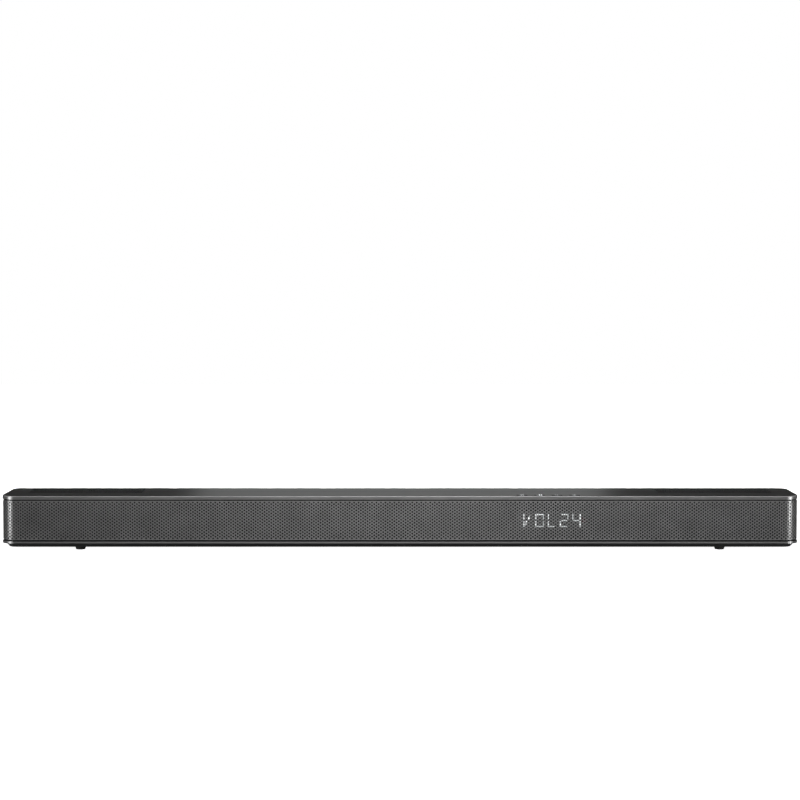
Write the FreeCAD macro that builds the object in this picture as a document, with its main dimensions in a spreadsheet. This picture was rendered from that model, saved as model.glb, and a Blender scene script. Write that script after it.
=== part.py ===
"""Soundbar: a low wide cabinet with a wrap-round perforated grille, five drivers, a lit
front display, four sprung keys on top, and a port bay and a mains bay at the back.

Millimetres. X runs to the listener's right, Y to the back and Z up. The origin is on the
surface that the feet stand on, under the middle of the cabinet.
"""

import FreeCAD, Part
import os
import re
import Sketcher

Vector = FreeCAD.Vector

# Driving sizes, in millimetres.
SIZES = {
    # cabinet
    "bar_length": 1000,
    "bar_depth": 105,
    "bar_height": 68.7,
    "front_corner_radius": 20,
    "rear_corner_radius": 12,
    "assembly_gap": 0.2,
    # feet
    "foot_height": 4,
    "foot_top_radius": 7,
    "foot_bottom_radius": 6,
    "foot_end_inset": 98,
    "foot_edge_inset": 17,
    # base shell
    "rim_height": 7.8,
    "rim_band": 3,
    "rim_step": 4.2,
    "rim_chamfer": 4.4,
    "floor_thickness": 2.5,
    # top cover
    "cover_lip_height": 4.5,
    "cover_lip_thickness": 1.8,
    "cover_thickness": 2.2,
    "cover_edge_radius": 0.8,
    # grille, cloth and baffle
    "groove_height": 1.4,
    "cover_gap": 1,
    "grille_setback": 0.5,
    "grille_thickness": 0.8,
    "cloth_thickness": 0.5,
    "baffle_thickness": 3,
    # rear panel
    "rear_return": 14.5,
    "panel_setback": 0.5,
    "panel_thickness": 3,
    "bay_depth": 22,
    "bay_wall": 2,
    "bay_top_margin": 12,
    "port_bay_x": 110,
    "port_bay_width": 130,
    "mains_bay_offset": 25,
    "mains_bay_width": 44,
    "wall_insert_end_inset": 180,
    "wall_insert_radius": 3.5,
    "wall_insert_bore": 2.1,
    "wall_insert_length": 8,
    "wall_boss_wall": 2,
    # inner walls and screw towers
    "chamber_wall_thickness": 2.5,
    "chamber_wall_gap": 20,
    "chamber_foot_width": 7.5,
    "tower_radius": 4,
    "tower_inset": 10,
    "side_tower_gap": 15,
    "mid_tower_gap": 20,
    "end_tower_inset": 22,
    "case_screw_radius": 1.45,
    "case_screw_length": 14,
    "case_head_radius": 2.8,
    "case_head_height": 1.6,
    # drivers
    "front_driver_width": 120,
    "front_driver_end_inset": 120,
    "front_driver_clearance": 1,
    "up_driver_width": 84,
    "up_driver_end_inset": 100,
    "up_driver_clearance": 7,
    "flange_thickness": 2,
    "flange_rim": 3,
    "flange_corner_radius": 6,
    "basket_depth": 16,
    "basket_wall": 1.2,
    "basket_window": 9,
    "surround_width": 4.5,
    "surround_height": 3,
    "surround_recess": 0.5,
    "surround_roll": 1.4,
    "cone_recess": 2.5,
    "cone_depth": 7.5,
    "cone_thickness": 0.8,
    "cone_neck_stretch": 4,
    "bond_gap": 0.05,
    "coil_radius": 8,
    "coil_thickness": 0.5,
    "coil_length": 14,
    "coil_clearance": 0.6,
    "magnet_radius": 17,
    "magnet_height": 13,
    "magnet_back": 2,
    "driver_screw_inset": 5,
    "driver_screw_radius": 1.3,
    "driver_screw_bite": 1.2,
    "driver_head_radius": 2.4,
    "driver_head_height": 1.6,
    "screw_clearance": 0.05,
    # top grilles
    "top_grille_length": 150,
    "top_grille_border": 3,
    "top_grille_thickness": 0.8,
    "top_grille_corner": 4,
    # display
    "glyph_width": 10.8,
    "glyph_height": 16.5,
    "glyph_pitch": 15.3,
    "stroke_width": 1.5,
    "stroke_gap": 0.35,
    "slot_clearance": 0.1,
    "display_border": 3,
    "receiver_side": 6,
    "receiver_depth": 3,
    "board_thickness": 1.6,
    # keys
    "key_length": 14,
    "key_width": 8,
    "key_pitch": 22,
    "key_edge_inset": 11,
    "key_shift": -4,
    "key_proud": 0.4,
    "key_gap": 0.3,
    "key_corner_radius": 2,
    "key_flange": 1,
    "key_flange_thickness": 1.1,
    "key_flange_gap": 0.1,
    "key_stem": 3,
    "key_travel": 0.5,
    "key_board_drop": 8,
    "key_board_depth": 14,
    "switch_side": 6,
    "switch_height": 3.2,
    "plunger_radius": 1.6,
    "plunger_height": 0.8,
    # boards and sockets
    "standoff_height": 6.2,
    "standoff_radius": 3,
    "board_screw_radius": 1.2,
    "board_screw_length": 5,
    "board_head_radius": 2.3,
    "board_head_height": 1.4,
    "board_screw_inset": 4,
    "main_board_width": 170,
    "main_board_depth": 34,
    "board_wall_gap": 50,
    "power_board_width": 150,
    "power_board_depth": 34,
    "socket_depth": 13,
    "socket_wall": 0.6,
    "socket_tongue": 1,
    "hdmi_width": 15.2,
    "hdmi_height": 6.2,
    "hdmi_offset": -45,
    "hdmi_pitch": 25,
    "optical_offset": 7,
    "optical_width": 10,
    "optical_height": 10,
    "usb_offset": 28,
    "usb_width": 14.4,
    "usb_height": 7,
    "aux_offset": 49,
    "aux_side": 9,
    "aux_bore": 1.8,
    "inlet_width": 22,
    "inlet_height": 13,
    "inlet_depth": 18,
    "inlet_cavity_depth": 12,
    "inlet_wall": 2,
    "inlet_pin_radius": 1.2,
    "inlet_pin_pitch": 8.6,
    "inlet_pin_length": 7,
    "aperture_clearance": 0.2,
    # chips and other parts on the boards: each offset and setback is of the part's middle
    "amplifier_offset": -40,
    "amplifier_setback": 22,
    "amplifier_length": 14,
    "amplifier_depth": 10,
    "processor_offset": -12,
    "processor_setback": 23,
    "processor_side": 9,
    "converter_offset": 48,
    "converter_setback": 20,
    "converter_length": 8,
    "converter_depth": 12,
    "sink_offset": 62,
    "sink_setback": 23,
    "sink_length": 24,
    "sink_depth": 14,
    "sink_height": 16,
    "sink_base": 3,
    "fin_thickness": 1.5,
    "fin_pitch": 4.5,
    "transformer_offset": 22,
    "transformer_setback": 17,
    "transformer_length": 24,
    "transformer_depth": 22,
    "transformer_height": 20,
    "winding_length": 15,
    "winding_depth": 27,
    "winding_inset": 4,
    "near_capacitor_offset": -4,
    "far_capacitor_offset": 62,
    "capacitor_radius": 6.5,
    "capacitor_height": 24,
    "radio_offset": -68,
    "radio_setback": 24,
    "radio_length": 22,
    "radio_thickness": 1.2,
    "radio_height": 18,
    "can_length": 14,
    "can_depth": 3,
    "can_height": 11,
    "can_lift": 4,
}

# Places that follow from the driving sizes.
PLACES = {
    "half_length": "bar_length / 2",
    "front": "-bar_depth / 2",
    "rear": "bar_depth / 2",
    "rim_top": "foot_height + rim_height",
    "floor_top": "foot_height + floor_thickness",
    "lip_low": "bar_height - cover_lip_height",
    "ceiling": "bar_height - cover_thickness",
    "grille_low": "rim_top + groove_height",
    "grille_high": "lip_low - cover_gap",
    "cloth_inset": "grille_setback + grille_thickness",
    "baffle_inset": "cloth_inset + cloth_thickness + assembly_gap",
    "rim_width": "rim_step + rim_chamfer + assembly_gap",
    "baffle_back": "front + baffle_inset + baffle_thickness",
    "side_end": "rear - rear_return",
    "panel_front": "rear - panel_setback - panel_thickness",
    "bay_back": "rear - bay_depth",
    "bay_front": "bay_back - bay_wall",
    "bay_low": "rim_top + bay_wall",
    "bay_high": "ceiling - bay_top_margin",
    "wall_insert_x": "half_length - wall_insert_end_inset",
    "wall_insert_z": "(rim_top + lip_low) / 2",
    "front_driver_x": "half_length - front_driver_end_inset",
    "front_driver_z": "(rim_top + ceiling) / 2",
    "front_driver_height": "ceiling - rim_top - 2 * front_driver_clearance",
    "magnet_rear": "baffle_back + basket_depth + magnet_height",
    "up_driver_x": "half_length - up_driver_end_inset",
    "up_driver_y": "(magnet_rear + panel_front) / 2",
    "up_driver_height": "panel_front - magnet_rear - 2 * up_driver_clearance",
    "chamber_wall_x": "front_driver_x - front_driver_width / 2 - chamber_wall_gap",
    "power_board_x": "board_wall_gap + power_board_width / 2 - chamber_wall_x",
    "mains_bay_x": "power_board_x - mains_bay_offset",
    "side_tower_x": "chamber_wall_x - side_tower_gap",
    "mid_tower_x": "front_driver_width / 2 + mid_tower_gap",
    "end_tower_x": "half_length - end_tower_inset",
    "front_tower_y": "baffle_back + tower_inset",
    "rear_tower_y": "rear - rim_width - tower_radius - 2 * assembly_gap",
    "tower_bore": "case_screw_radius + screw_clearance",
    "display_x": "front_driver_x / 2",
    "display_z": "(grille_low + grille_high) / 2",
    "display_half_length": "2 * glyph_pitch + glyph_width / 2 + display_border + receiver_side",
    "display_half_height": "glyph_height / 2 + display_border",
    "key_x": "display_x + key_shift",
    "key_y": "front + key_edge_inset",
    "key_board_top": "ceiling - key_board_drop",
    "key_post_reach": "1.5 * key_pitch + key_length / 2 + 2 * key_flange + standoff_radius",
    "key_board_half_length": "key_post_reach + board_screw_inset",
    "key_board_y": "baffle_back + assembly_gap + key_board_depth / 2",
    "board_low": "floor_top + standoff_height",
    "board_top": "board_low + board_thickness",
    "main_board_back": "bay_front - assembly_gap",
    "inlet_z": "board_top + inlet_height / 2",
}

# The strokes that each lit character of the generic volume readout uses.
READOUT = {
    0: ("upper_left", "lower_left", "lower_slant", "upper_slant"),
    1: ("top", "bottom", "upper_left", "lower_left", "upper_right", "lower_right"),
    2: ("upper_left", "lower_left", "bottom"),
    3: ("top", "upper_right", "middle", "lower_left", "bottom"),
    4: ("upper_left", "middle", "upper_right", "lower_right"),
}

# Each stroke: its left edge at the bottom and at the top, its width, and its low and high
# level, all measured from the middle of the character.
SIDE = "glyph_width / 2 - stroke_width"
INNER = "glyph_width / 2 - stroke_width - stroke_gap"
HALF_BAR = "glyph_height / 2 - stroke_width - stroke_gap"
HALF_STROKE = "stroke_width / 2"
UPRIGHT_FOOT = "stroke_width / 2 + stroke_gap"
STROKES = {
    "top": (f"-({INNER})", f"-({INNER})", f"2 * ({INNER})",
            "glyph_height / 2 - stroke_width", "glyph_height / 2"),
    "bottom": (f"-({INNER})", f"-({INNER})", f"2 * ({INNER})",
               "-glyph_height / 2", "stroke_width - glyph_height / 2"),
    "middle": (f"-({INNER})", f"-({INNER})", f"2 * ({INNER})",
               f"-{HALF_STROKE}", HALF_STROKE),
    "upper_left": ("-glyph_width / 2", "-glyph_width / 2", "stroke_width",
                   UPRIGHT_FOOT, "glyph_height / 2"),
    "lower_left": ("-glyph_width / 2", "-glyph_width / 2", "stroke_width",
                   "-glyph_height / 2", f"-({UPRIGHT_FOOT})"),
    "upper_right": (SIDE, SIDE, "stroke_width", UPRIGHT_FOOT, "glyph_height / 2"),
    "lower_right": (SIDE, SIDE, "stroke_width", "-glyph_height / 2", f"-({UPRIGHT_FOOT})"),
    "lower_slant": (f"-({INNER})", "-stroke_width - stroke_gap", "stroke_width",
                    f"-({HALF_BAR})", f"-{HALF_STROKE}"),
    "upper_slant": ("stroke_gap", f"{INNER} - stroke_width", "stroke_width",
                    HALF_STROKE, HALF_BAR),
}

# Turned so that the piece's own Z looks out of the cabinet's front.
FACING_FRONT = FreeCAD.Rotation(Vector(1, 0, 0), 90)
FACING_UP = FreeCAD.Rotation()

# The plane that a sketch lies on, and the sense of its normal along the third axis.
PLANES = {"xy": ("XY_Plane", 1), "xz": ("XZ_Plane", -1), "yz": ("YZ_Plane", 1)}

# How far off a height an edge may lie and still count as lying at it, and the least volume
# that a pocket must remove.
LEVEL_ERROR = 1e-4
SMALLEST_CUT = 0.01

doc = FreeCAD.newDocument("Soundbar")
sheet = doc.addObject("Spreadsheet::Sheet", "Sizes")


# ---------------------------------------------------------------- sheet and bindings


def fill_sheet():
    """One row for each driving size, then one for each place that follows from them."""
    rows = list(SIZES.items()) + [(name, "=" + text) for name, text in PLACES.items()]
    for row, (name, content) in enumerate(rows, start=1):
        sheet.set(f"A{row}", name)
        sheet.set(f"B{row}", str(content))
        sheet.setAlias(f"B{row}", name)
    doc.recompute()


def bound(text):
    """The expression with each size's name pointing at its cell."""

    def cell(word):
        name = word.group()
        return f"Sizes.{name}" if name in SIZES or name in PLACES else name

    return re.sub(r"[a-z_]+", cell, text)


def number(text):
    return float(sheet.evalExpression(bound(text)))


def tie(item, **sizes):
    for name, text in sizes.items():
        item.setExpression(name, bound(text))


def place(item, x="0", y="0", z="0", rotation=FACING_UP):
    item.Placement = FreeCAD.Placement(Vector(), rotation)
    for axis, text in zip("xyz", (x, y, z)):
        item.setExpression(f"Placement.Base.{axis}", bound(text))
    return item


# ---------------------------------------------------------------- sketches and features


def hold(sketch, kind, geometry, point, text):
    """Holds a point of the sketch at a distance from its origin."""
    index = sketch.addConstraint(
        Sketcher.Constraint(kind, -1, 1, geometry, point, number(text))
    )
    sketch.setExpression(f"Constraints[{index}]", bound(text))


def hold_radius(sketch, geometry, text):
    index = sketch.addConstraint(Sketcher.Constraint("Radius", geometry, number(text)))
    sketch.setExpression(f"Constraints[{index}]", bound(text))


def join(sketch, kind, first, second):
    """Joins the end of one edge to the start of the next."""
    sketch.addConstraint(Sketcher.Constraint(kind, first, 2, second, 1))


def rectangle(sketch, x, y, radii=(None, None, None, None)):
    """A rectangle between two limits on each axis. Corners run from the low x, low y one
    anticlockwise, and each may have a radius."""
    x_low, x_high = (number(text) for text in x)
    y_low, y_high = (number(text) for text in y)
    corners = [(x_low, y_low), (x_high, y_low), (x_high, y_high), (x_low, y_high)]
    corners = [Vector(*corner, 0) for corner in corners]
    ways = [Vector(1, 0, 0), Vector(0, 1, 0), Vector(-1, 0, 0), Vector(0, -1, 0)]
    rounds = [number(text) if text else 0 for text in radii]
    first = sketch.GeometryCount
    for i, way in enumerate(ways):
        start = corners[i] + way * rounds[i]
        end = corners[(i + 1) % 4] - way * rounds[(i + 1) % 4]
        sketch.addGeometry(Part.LineSegment(start, end), False)
    for i, text in enumerate(radii):
        before, after = first + (i - 1) % 4, first + i
        if text is None:
            join(sketch, "Coincident", before, after)
            continue
        centre = corners[i] + (ways[i] - ways[i - 1]) * rounds[i]
        circle_line = Part.Circle(centre, Vector(0, 0, 1), rounds[i])
        start = FreeCAD.Units.Quantity(180 + 90 * i, "deg").getValueAs("rad").Value
        end = FreeCAD.Units.Quantity(270 + 90 * i, "deg").getValueAs("rad").Value
        arc = sketch.addGeometry(Part.ArcOfCircle(circle_line, start, end), False)
        join(sketch, "Tangent", before, arc)
        join(sketch, "Tangent", arc, after)
        hold_radius(sketch, arc, text)
    for side in (0, 2):
        sketch.addConstraint(Sketcher.Constraint("Horizontal", first + side))
        sketch.addConstraint(Sketcher.Constraint("Vertical", first + side + 1))
    hold(sketch, "DistanceY", first, 1, y[0])
    hold(sketch, "DistanceX", first + 1, 1, x[1])
    hold(sketch, "DistanceY", first + 2, 1, y[1])
    hold(sketch, "DistanceX", first + 3, 1, x[0])


def plate(sketch, x, y, width, height, radius=None):
    """A rectangle about a middle point, its corners all of one radius."""
    rectangle(
        sketch,
        (f"{x} - ({width}) / 2", f"{x} + ({width}) / 2"),
        (f"{y} - ({height}) / 2", f"{y} + ({height}) / 2"),
        (radius,) * 4,
    )


def circle(sketch, x, y, radius):
    middle = Vector(number(x), number(y), 0)
    round_line = Part.Circle(middle, Vector(0, 0, 1), number(radius))
    index = sketch.addGeometry(round_line, False)
    hold_radius(sketch, index, radius)
    hold(sketch, "DistanceX", index, 3, x)
    hold(sketch, "DistanceY", index, 3, y)


def racetrack(sketch, width, height):
    """Two straight sides along X joined by half circles, about the sketch's origin."""
    reach = f"(({width}) - ({height})) / 2"
    radius = f"({height}) / 2"
    out, up = Vector(number(reach), 0, 0), Vector(0, number(radius), 0)
    quarter = FreeCAD.Units.Quantity(90, "deg").getValueAs("rad").Value
    right = Part.Circle(out, Vector(0, 0, 1), number(radius))
    left = Part.Circle(-out, Vector(0, 0, 1), number(radius))
    lower = sketch.addGeometry(Part.LineSegment(-out - up, out - up), False)
    right_end = sketch.addGeometry(Part.ArcOfCircle(right, -quarter, quarter), False)
    upper = sketch.addGeometry(Part.LineSegment(out + up, up - out), False)
    left_end = sketch.addGeometry(Part.ArcOfCircle(left, quarter, 3 * quarter), False)
    loop = [lower, right_end, upper, left_end]
    for before, after in zip(loop, loop[1:] + loop[:1]):
        join(sketch, "Tangent", before, after)
    for side in (lower, upper):
        sketch.addConstraint(Sketcher.Constraint("Horizontal", side))
    hold_radius(sketch, right_end, radius)
    hold(sketch, "DistanceX", right_end, 3, reach)
    hold(sketch, "DistanceY", right_end, 3, "0")
    hold(sketch, "DistanceX", left_end, 3, f"-{reach}")


def cabinet_outline(sketch, inset, y_high="rear", rear_radius="rear_corner_radius"):
    """The cabinet's plan outline, a set distance inside its outer faces."""
    side = f"half_length - ({inset})"
    front_radius = f"front_corner_radius - ({inset})"
    limits = ("front + " + inset, y_high)
    radii = (front_radius, front_radius, rear_radius, rear_radius)
    rectangle(sketch, (f"-({side})", side), limits, radii)


def new_body(name):
    body = doc.addObject("PartDesign::Body", name)
    body.Label = name
    return body


def new_sketch(body, plane, level):
    role, sense = PLANES[plane]
    sketch = body.newObject("Sketcher::SketchObject", "Profile")
    support = next(item for item in body.Origin.OriginFeatures if item.Role == role)
    sketch.AttachmentSupport = [(support, "")]
    sketch.MapMode = "FlatFace"
    sketch.setExpression("AttachmentOffset.Base.z", bound(f"{sense} * ({level})"))
    return sketch


def extrude(body, kind, plane, low, high, *drawings):
    """A Pad or Pocket between two levels along the axis that the plane faces."""
    start = low if PLANES[plane][1] > 0 else high
    sketch = new_sketch(body, plane, start)
    for draw, *sizes in drawings:
        draw(sketch, *sizes)
    feature = body.newObject(f"PartDesign::{kind}", kind)
    feature.Profile = sketch
    feature.Reversed = kind == "Pocket"
    tie(feature, Length=f"({high}) - ({low})")
    return feature


def loft(body, kind, near, far):
    """An AdditiveLoft or SubtractiveLoft between two racetracks, each given as its level,
    width and height."""
    sketches = []
    for level, width, height in (near, far):
        sketch = new_sketch(body, "xy", level)
        racetrack(sketch, width, height)
        sketches.append(sketch)
    feature = body.newObject(f"PartDesign::{kind}", kind)
    feature.Profile = sketches[0]
    feature.Sections = sketches[1:]
    feature.Ruled = True


def edges_at(feature, level):
    """Names of a feature's edges that lie at one height."""
    found = []
    for index, edge in enumerate(feature.Shape.Edges, start=1):
        limits = edge.BoundBox
        if abs(limits.ZMin - level) < LEVEL_ERROR and abs(limits.ZMax - level) < LEVEL_ERROR:
            found.append(f"Edge{index}")
    return found


def dress(body, kind, level, **sizes):
    """A Fillet or Chamfer on every edge of the body's tip at one height."""
    doc.recompute()
    base = body.Tip
    feature = body.newObject(f"PartDesign::{kind}", kind)
    feature.Base = (base, edges_at(base, number(level)))
    tie(feature, **sizes)


# ---------------------------------------------------------------- Part primitives


def block(x, y, z, name="Block"):
    """A box between two limits on each axis."""
    item = doc.addObject("Part::Box", name)
    tie(item, Length=f"({x[1]}) - ({x[0]})", Width=f"({y[1]}) - ({y[0]})")
    tie(item, Height=f"({z[1]}) - ({z[0]})")
    return place(item, x[0], y[0], z[0])


def rod(x, y, z, radius, length, rotation=FACING_UP):
    item = doc.addObject("Part::Cylinder", "Rod")
    tie(item, Radius=radius, Height=length)
    return place(item, x, y, z, rotation)


def around(middle, size):
    """The two limits of a size about a middle."""
    return f"({middle}) - ({size}) / 2", f"({middle}) + ({size}) / 2"


def fuse(name, items):
    item = doc.addObject("Part::MultiFuse", name)
    item.Shapes = items
    item.Label = name
    return item


def cut(name, base, tool):
    item = doc.addObject("Part::Cut", name)
    item.Base = base
    item.Tool = tool
    item.Label = name
    return item


def group(name, items):
    """Separate solids that share one node."""
    item = doc.addObject("Part::Compound", name)
    item.Links = items
    item.Label = name
    return item


def screw(x, y, z, radius, length, head_radius, head_height, rotation=FACING_UP):
    """A pan-head screw: its shank runs along its own +Z from the underside of its head."""
    shank = doc.addObject("Part::Cylinder", "Shank")
    head = doc.addObject("Part::Cylinder", "Head")
    tie(shank, Radius=radius, Height=length)
    tie(head, Radius=head_radius, Height=head_height)
    place(head, z=f"-({head_height})")
    item = fuse("Screw", [shank, head])
    return place(item, x, y, z, rotation)


# ---------------------------------------------------------------- places that repeat


def towers():
    """Middle of each screw tower that ties the top cover to the base shell."""
    for sign in ("-", ""):
        yield f"{sign}mid_tower_x", "front_tower_y"
        yield f"{sign}side_tower_x", "front_tower_y"
        yield f"{sign}side_tower_x", "rear_tower_y"
        yield f"{sign}end_tower_x", "rear_tower_y"


def feet():
    for x in ("half_length - foot_end_inset", "foot_end_inset - half_length"):
        for y in ("front + foot_edge_inset", "rear - foot_edge_inset"):
            yield x, y


def board_corners(x, width, y_back, depth):
    """The screw places of a board that lies flat."""
    for side in ("-", "+"):
        for y in (f"{y_back} - board_screw_inset", f"{y_back} - {depth} + board_screw_inset"):
            yield f"{x} {side} ({width} / 2 - board_screw_inset)", y


def flat_boards():
    """Screw places of the two boards that lie on the base shell."""
    for x, board in (("port_bay_x", "main_board"), ("power_board_x", "power_board")):
        yield from board_corners(x, f"{board}_width", "main_board_back", f"{board}_depth")


def driver_corners(width, height):
    """The four screw places in a driver's flange, about its middle."""
    across = f"(({width}) / 2 - driver_screw_inset)"
    upright = f"(({height}) / 2 - driver_screw_inset)"
    for x in (f"-{across}", across):
        for y in (f"-{upright}", upright):
            yield x, y


FRONT_DRIVERS = {"left": "-front_driver_x", "centre": "0", "right": "front_driver_x"}
UP_DRIVERS = {"left_up": "-up_driver_x", "right_up": "up_driver_x"}
FRONT_SIZE = ("front_driver_width", "front_driver_height")
UP_SIZE = ("up_driver_width", "up_driver_height")
INSERTS = ("-wall_insert_x", "wall_insert_x")


# ---------------------------------------------------------------- cabinet


def base_shell():
    """A tray with a thin band round its top. Below the band it steps inwards and is
    chamfered underneath. It carries the boards."""
    body = new_body("base_shell")
    lower_rear = ("rear - rim_step", "rear_corner_radius - rim_step")
    lower = (cabinet_outline, "rim_step", *lower_rear)
    extrude(body, "Pad", "xy", "foot_height", "rim_top - rim_band", lower)
    dress(body, "Chamfer", "foot_height", Size="rim_chamfer")
    extrude(body, "Pad", "xy", "rim_top - rim_band", "rim_top", (cabinet_outline, "0"))
    inner_rear = ("rear - rim_width", "rear_corner_radius")
    extrude(body, "Pocket", "xy", "floor_top", "rim_top", (cabinet_outline, "rim_width", *inner_rear))
    standoffs = [(circle, x, y, "standoff_radius") for x, y in flat_boards()]
    extrude(body, "Pad", "xy", "floor_top", "board_low", *standoffs)
    pilot = "board_screw_radius + screw_clearance"
    pilots = [(circle, x, y, pilot) for x, y in flat_boards()]
    extrude(body, "Pocket", "xy", "floor_top", "board_low", *pilots)
    shanks = [(circle, x, y, "tower_bore") for x, y in towers()]
    extrude(body, "Pocket", "xy", "foot_height", "floor_top", *shanks)
    sinks = [(circle, x, y, "case_head_radius + screw_clearance") for x, y in towers()]
    extrude(body, "Pocket", "xy", "foot_height", "foot_height + case_head_height", *sinks)


def top_cover():
    """The plate with its lip, the screw towers, the key holes and the rebates of the two
    top grilles."""
    body = new_body("top_cover")
    extrude(body, "Pad", "xy", "lip_low", "bar_height", (cabinet_outline, "0"))
    dress(body, "Fillet", "bar_height", Radius="cover_edge_radius")
    lip_rear = ("rear - cover_lip_thickness", "rear_corner_radius - cover_lip_thickness")
    lip = (cabinet_outline, "cover_lip_thickness", *lip_rear)
    extrude(body, "Pocket", "xy", "lip_low", "ceiling", lip)
    posts = [(circle, x, y, "tower_radius") for x, y in towers()]
    extrude(body, "Pad", "xy", "floor_top", "ceiling", *posts)
    bores = [(circle, x, y, "tower_bore") for x, y in towers()]
    extrude(body, "Pocket", "xy", "floor_top", "floor_top + case_screw_length", *bores)
    key_holes = [
        (plate, x, "key_y", "key_length", "key_width", "key_corner_radius")
        for x in key_places().values()
    ]
    extrude(body, "Pocket", "xy", "ceiling", "bar_height", *key_holes)
    board_posts = [(circle, x, "key_y", "standoff_radius") for x in key_board_screws()]
    extrude(body, "Pad", "xy", "key_board_top", "ceiling", *board_posts)
    pilot = "board_screw_radius + screw_clearance"
    board_pilots = [(circle, x, "key_y", pilot) for x in key_board_screws()]
    pilot_end = "key_board_top + board_screw_length"
    extrude(body, "Pocket", "xy", "key_board_top", pilot_end, *board_pilots)
    rebates = [
        (plate, x, "up_driver_y", "top_grille_length", "up_driver_height + 2 * top_grille_border",
         "top_grille_corner")
        for x in UP_DRIVERS.values()
    ]
    extrude(body, "Pocket", "xy", "bar_height - top_grille_thickness", "bar_height", *rebates)
    for x in UP_DRIVERS.values():
        opening = (driver_opening_at, x, "up_driver_y", UP_SIZE)
        extrude(body, "Pocket", "xy", "ceiling", "bar_height", opening)
    pilot = "driver_screw_radius + screw_clearance"
    bites = [
        (circle, f"{x} + {dx}", f"up_driver_y + {dy}", pilot)
        for x in UP_DRIVERS.values()
        for dx, dy in driver_corners(*UP_SIZE)
    ]
    extrude(body, "Pocket", "xy", "ceiling", "ceiling + driver_screw_bite", *bites)


def driver_opening_at(sketch, x, y, size):
    """A driver's opening in the panel that it is screwed to."""
    width, height = (f"({text} - 2 * flange_rim)" for text in size)
    radius = f"{height} / 2 - bond_gap"
    plate(sketch, x, y, width, height, radius)


def front_baffle():
    """A U-shaped wall behind the grille that the front drivers are screwed to."""
    body = new_body("front_baffle")
    outer = (cabinet_outline, "baffle_inset", "side_end", None)
    extrude(body, "Pad", "xy", "rim_top", "ceiling - assembly_gap", outer)
    inset = "(baffle_inset + baffle_thickness)"
    inner = (cabinet_outline, inset, "rear", None)
    extrude(body, "Pocket", "xy", "rim_top", "ceiling - assembly_gap", inner)
    wall = ("front", "baffle_back")
    openings = [
        (driver_opening_at, x, "front_driver_z", FRONT_SIZE) for x in FRONT_DRIVERS.values()
    ]
    window = (plate, "display_x", "display_z", "2 * display_half_length", "2 * display_half_height")
    extrude(body, "Pocket", "xz", *wall, window, *openings)
    pilot = "driver_screw_radius + screw_clearance"
    bites = [
        (circle, f"{x} + {dx}", f"front_driver_z + {dz}", pilot)
        for x in FRONT_DRIVERS.values()
        for dx, dz in driver_corners(*FRONT_SIZE)
    ]
    pilot = "board_screw_radius + screw_clearance"
    bites += [(circle, x, "display_z", pilot) for x in display_screws()]
    extrude(body, "Pocket", "xz", "baffle_back - driver_screw_bite", "baffle_back", *bites)


def front_grille():
    """Perforated sheet wrapped round both front corners, slotted for the light guides. It
    is drawn as a closed sheet."""
    body = new_body("grille_sheet")
    outer = (cabinet_outline, "grille_setback", "side_end", None)
    extrude(body, "Pad", "xy", "grille_low", "grille_high", outer)
    inner = (cabinet_outline, "cloth_inset", "rear", None)
    extrude(body, "Pocket", "xy", "grille_low", "grille_high", inner)
    slots = group("display_slots", list(strokes("slot_clearance", "front", "baffle_back")))
    cut("front_grille", body, slots)


def acoustic_cloth():
    """Sheer cloth behind the grille, cut out behind the display."""
    body = new_body("acoustic_cloth")
    outer = (cabinet_outline, "cloth_inset", "side_end", None)
    extrude(body, "Pad", "xy", "grille_low", "grille_high", outer)
    inner = (cabinet_outline, "(cloth_inset + cloth_thickness)", "rear", None)
    extrude(body, "Pocket", "xy", "grille_low", "grille_high", inner)
    window = (plate, "display_x", "display_z", "2 * display_half_length", "2 * display_half_height")
    extrude(body, "Pocket", "xz", "front", "baffle_back", window)


def sockets():
    """Each socket's opening in the bay's wall: its middle, its level, width and height."""
    for place_along in (0, 1):
        x = f"port_bay_x + hdmi_offset + {place_along} * hdmi_pitch"
        yield x, "hdmi_width", "hdmi_height"
    yield "port_bay_x + optical_offset", "optical_width", "optical_height"
    yield "port_bay_x + usb_offset", "usb_width", "usb_height"
    yield "port_bay_x + aux_offset", "aux_side", "aux_side"
    yield "mains_bay_x", "inlet_width", "inlet_height"


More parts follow.
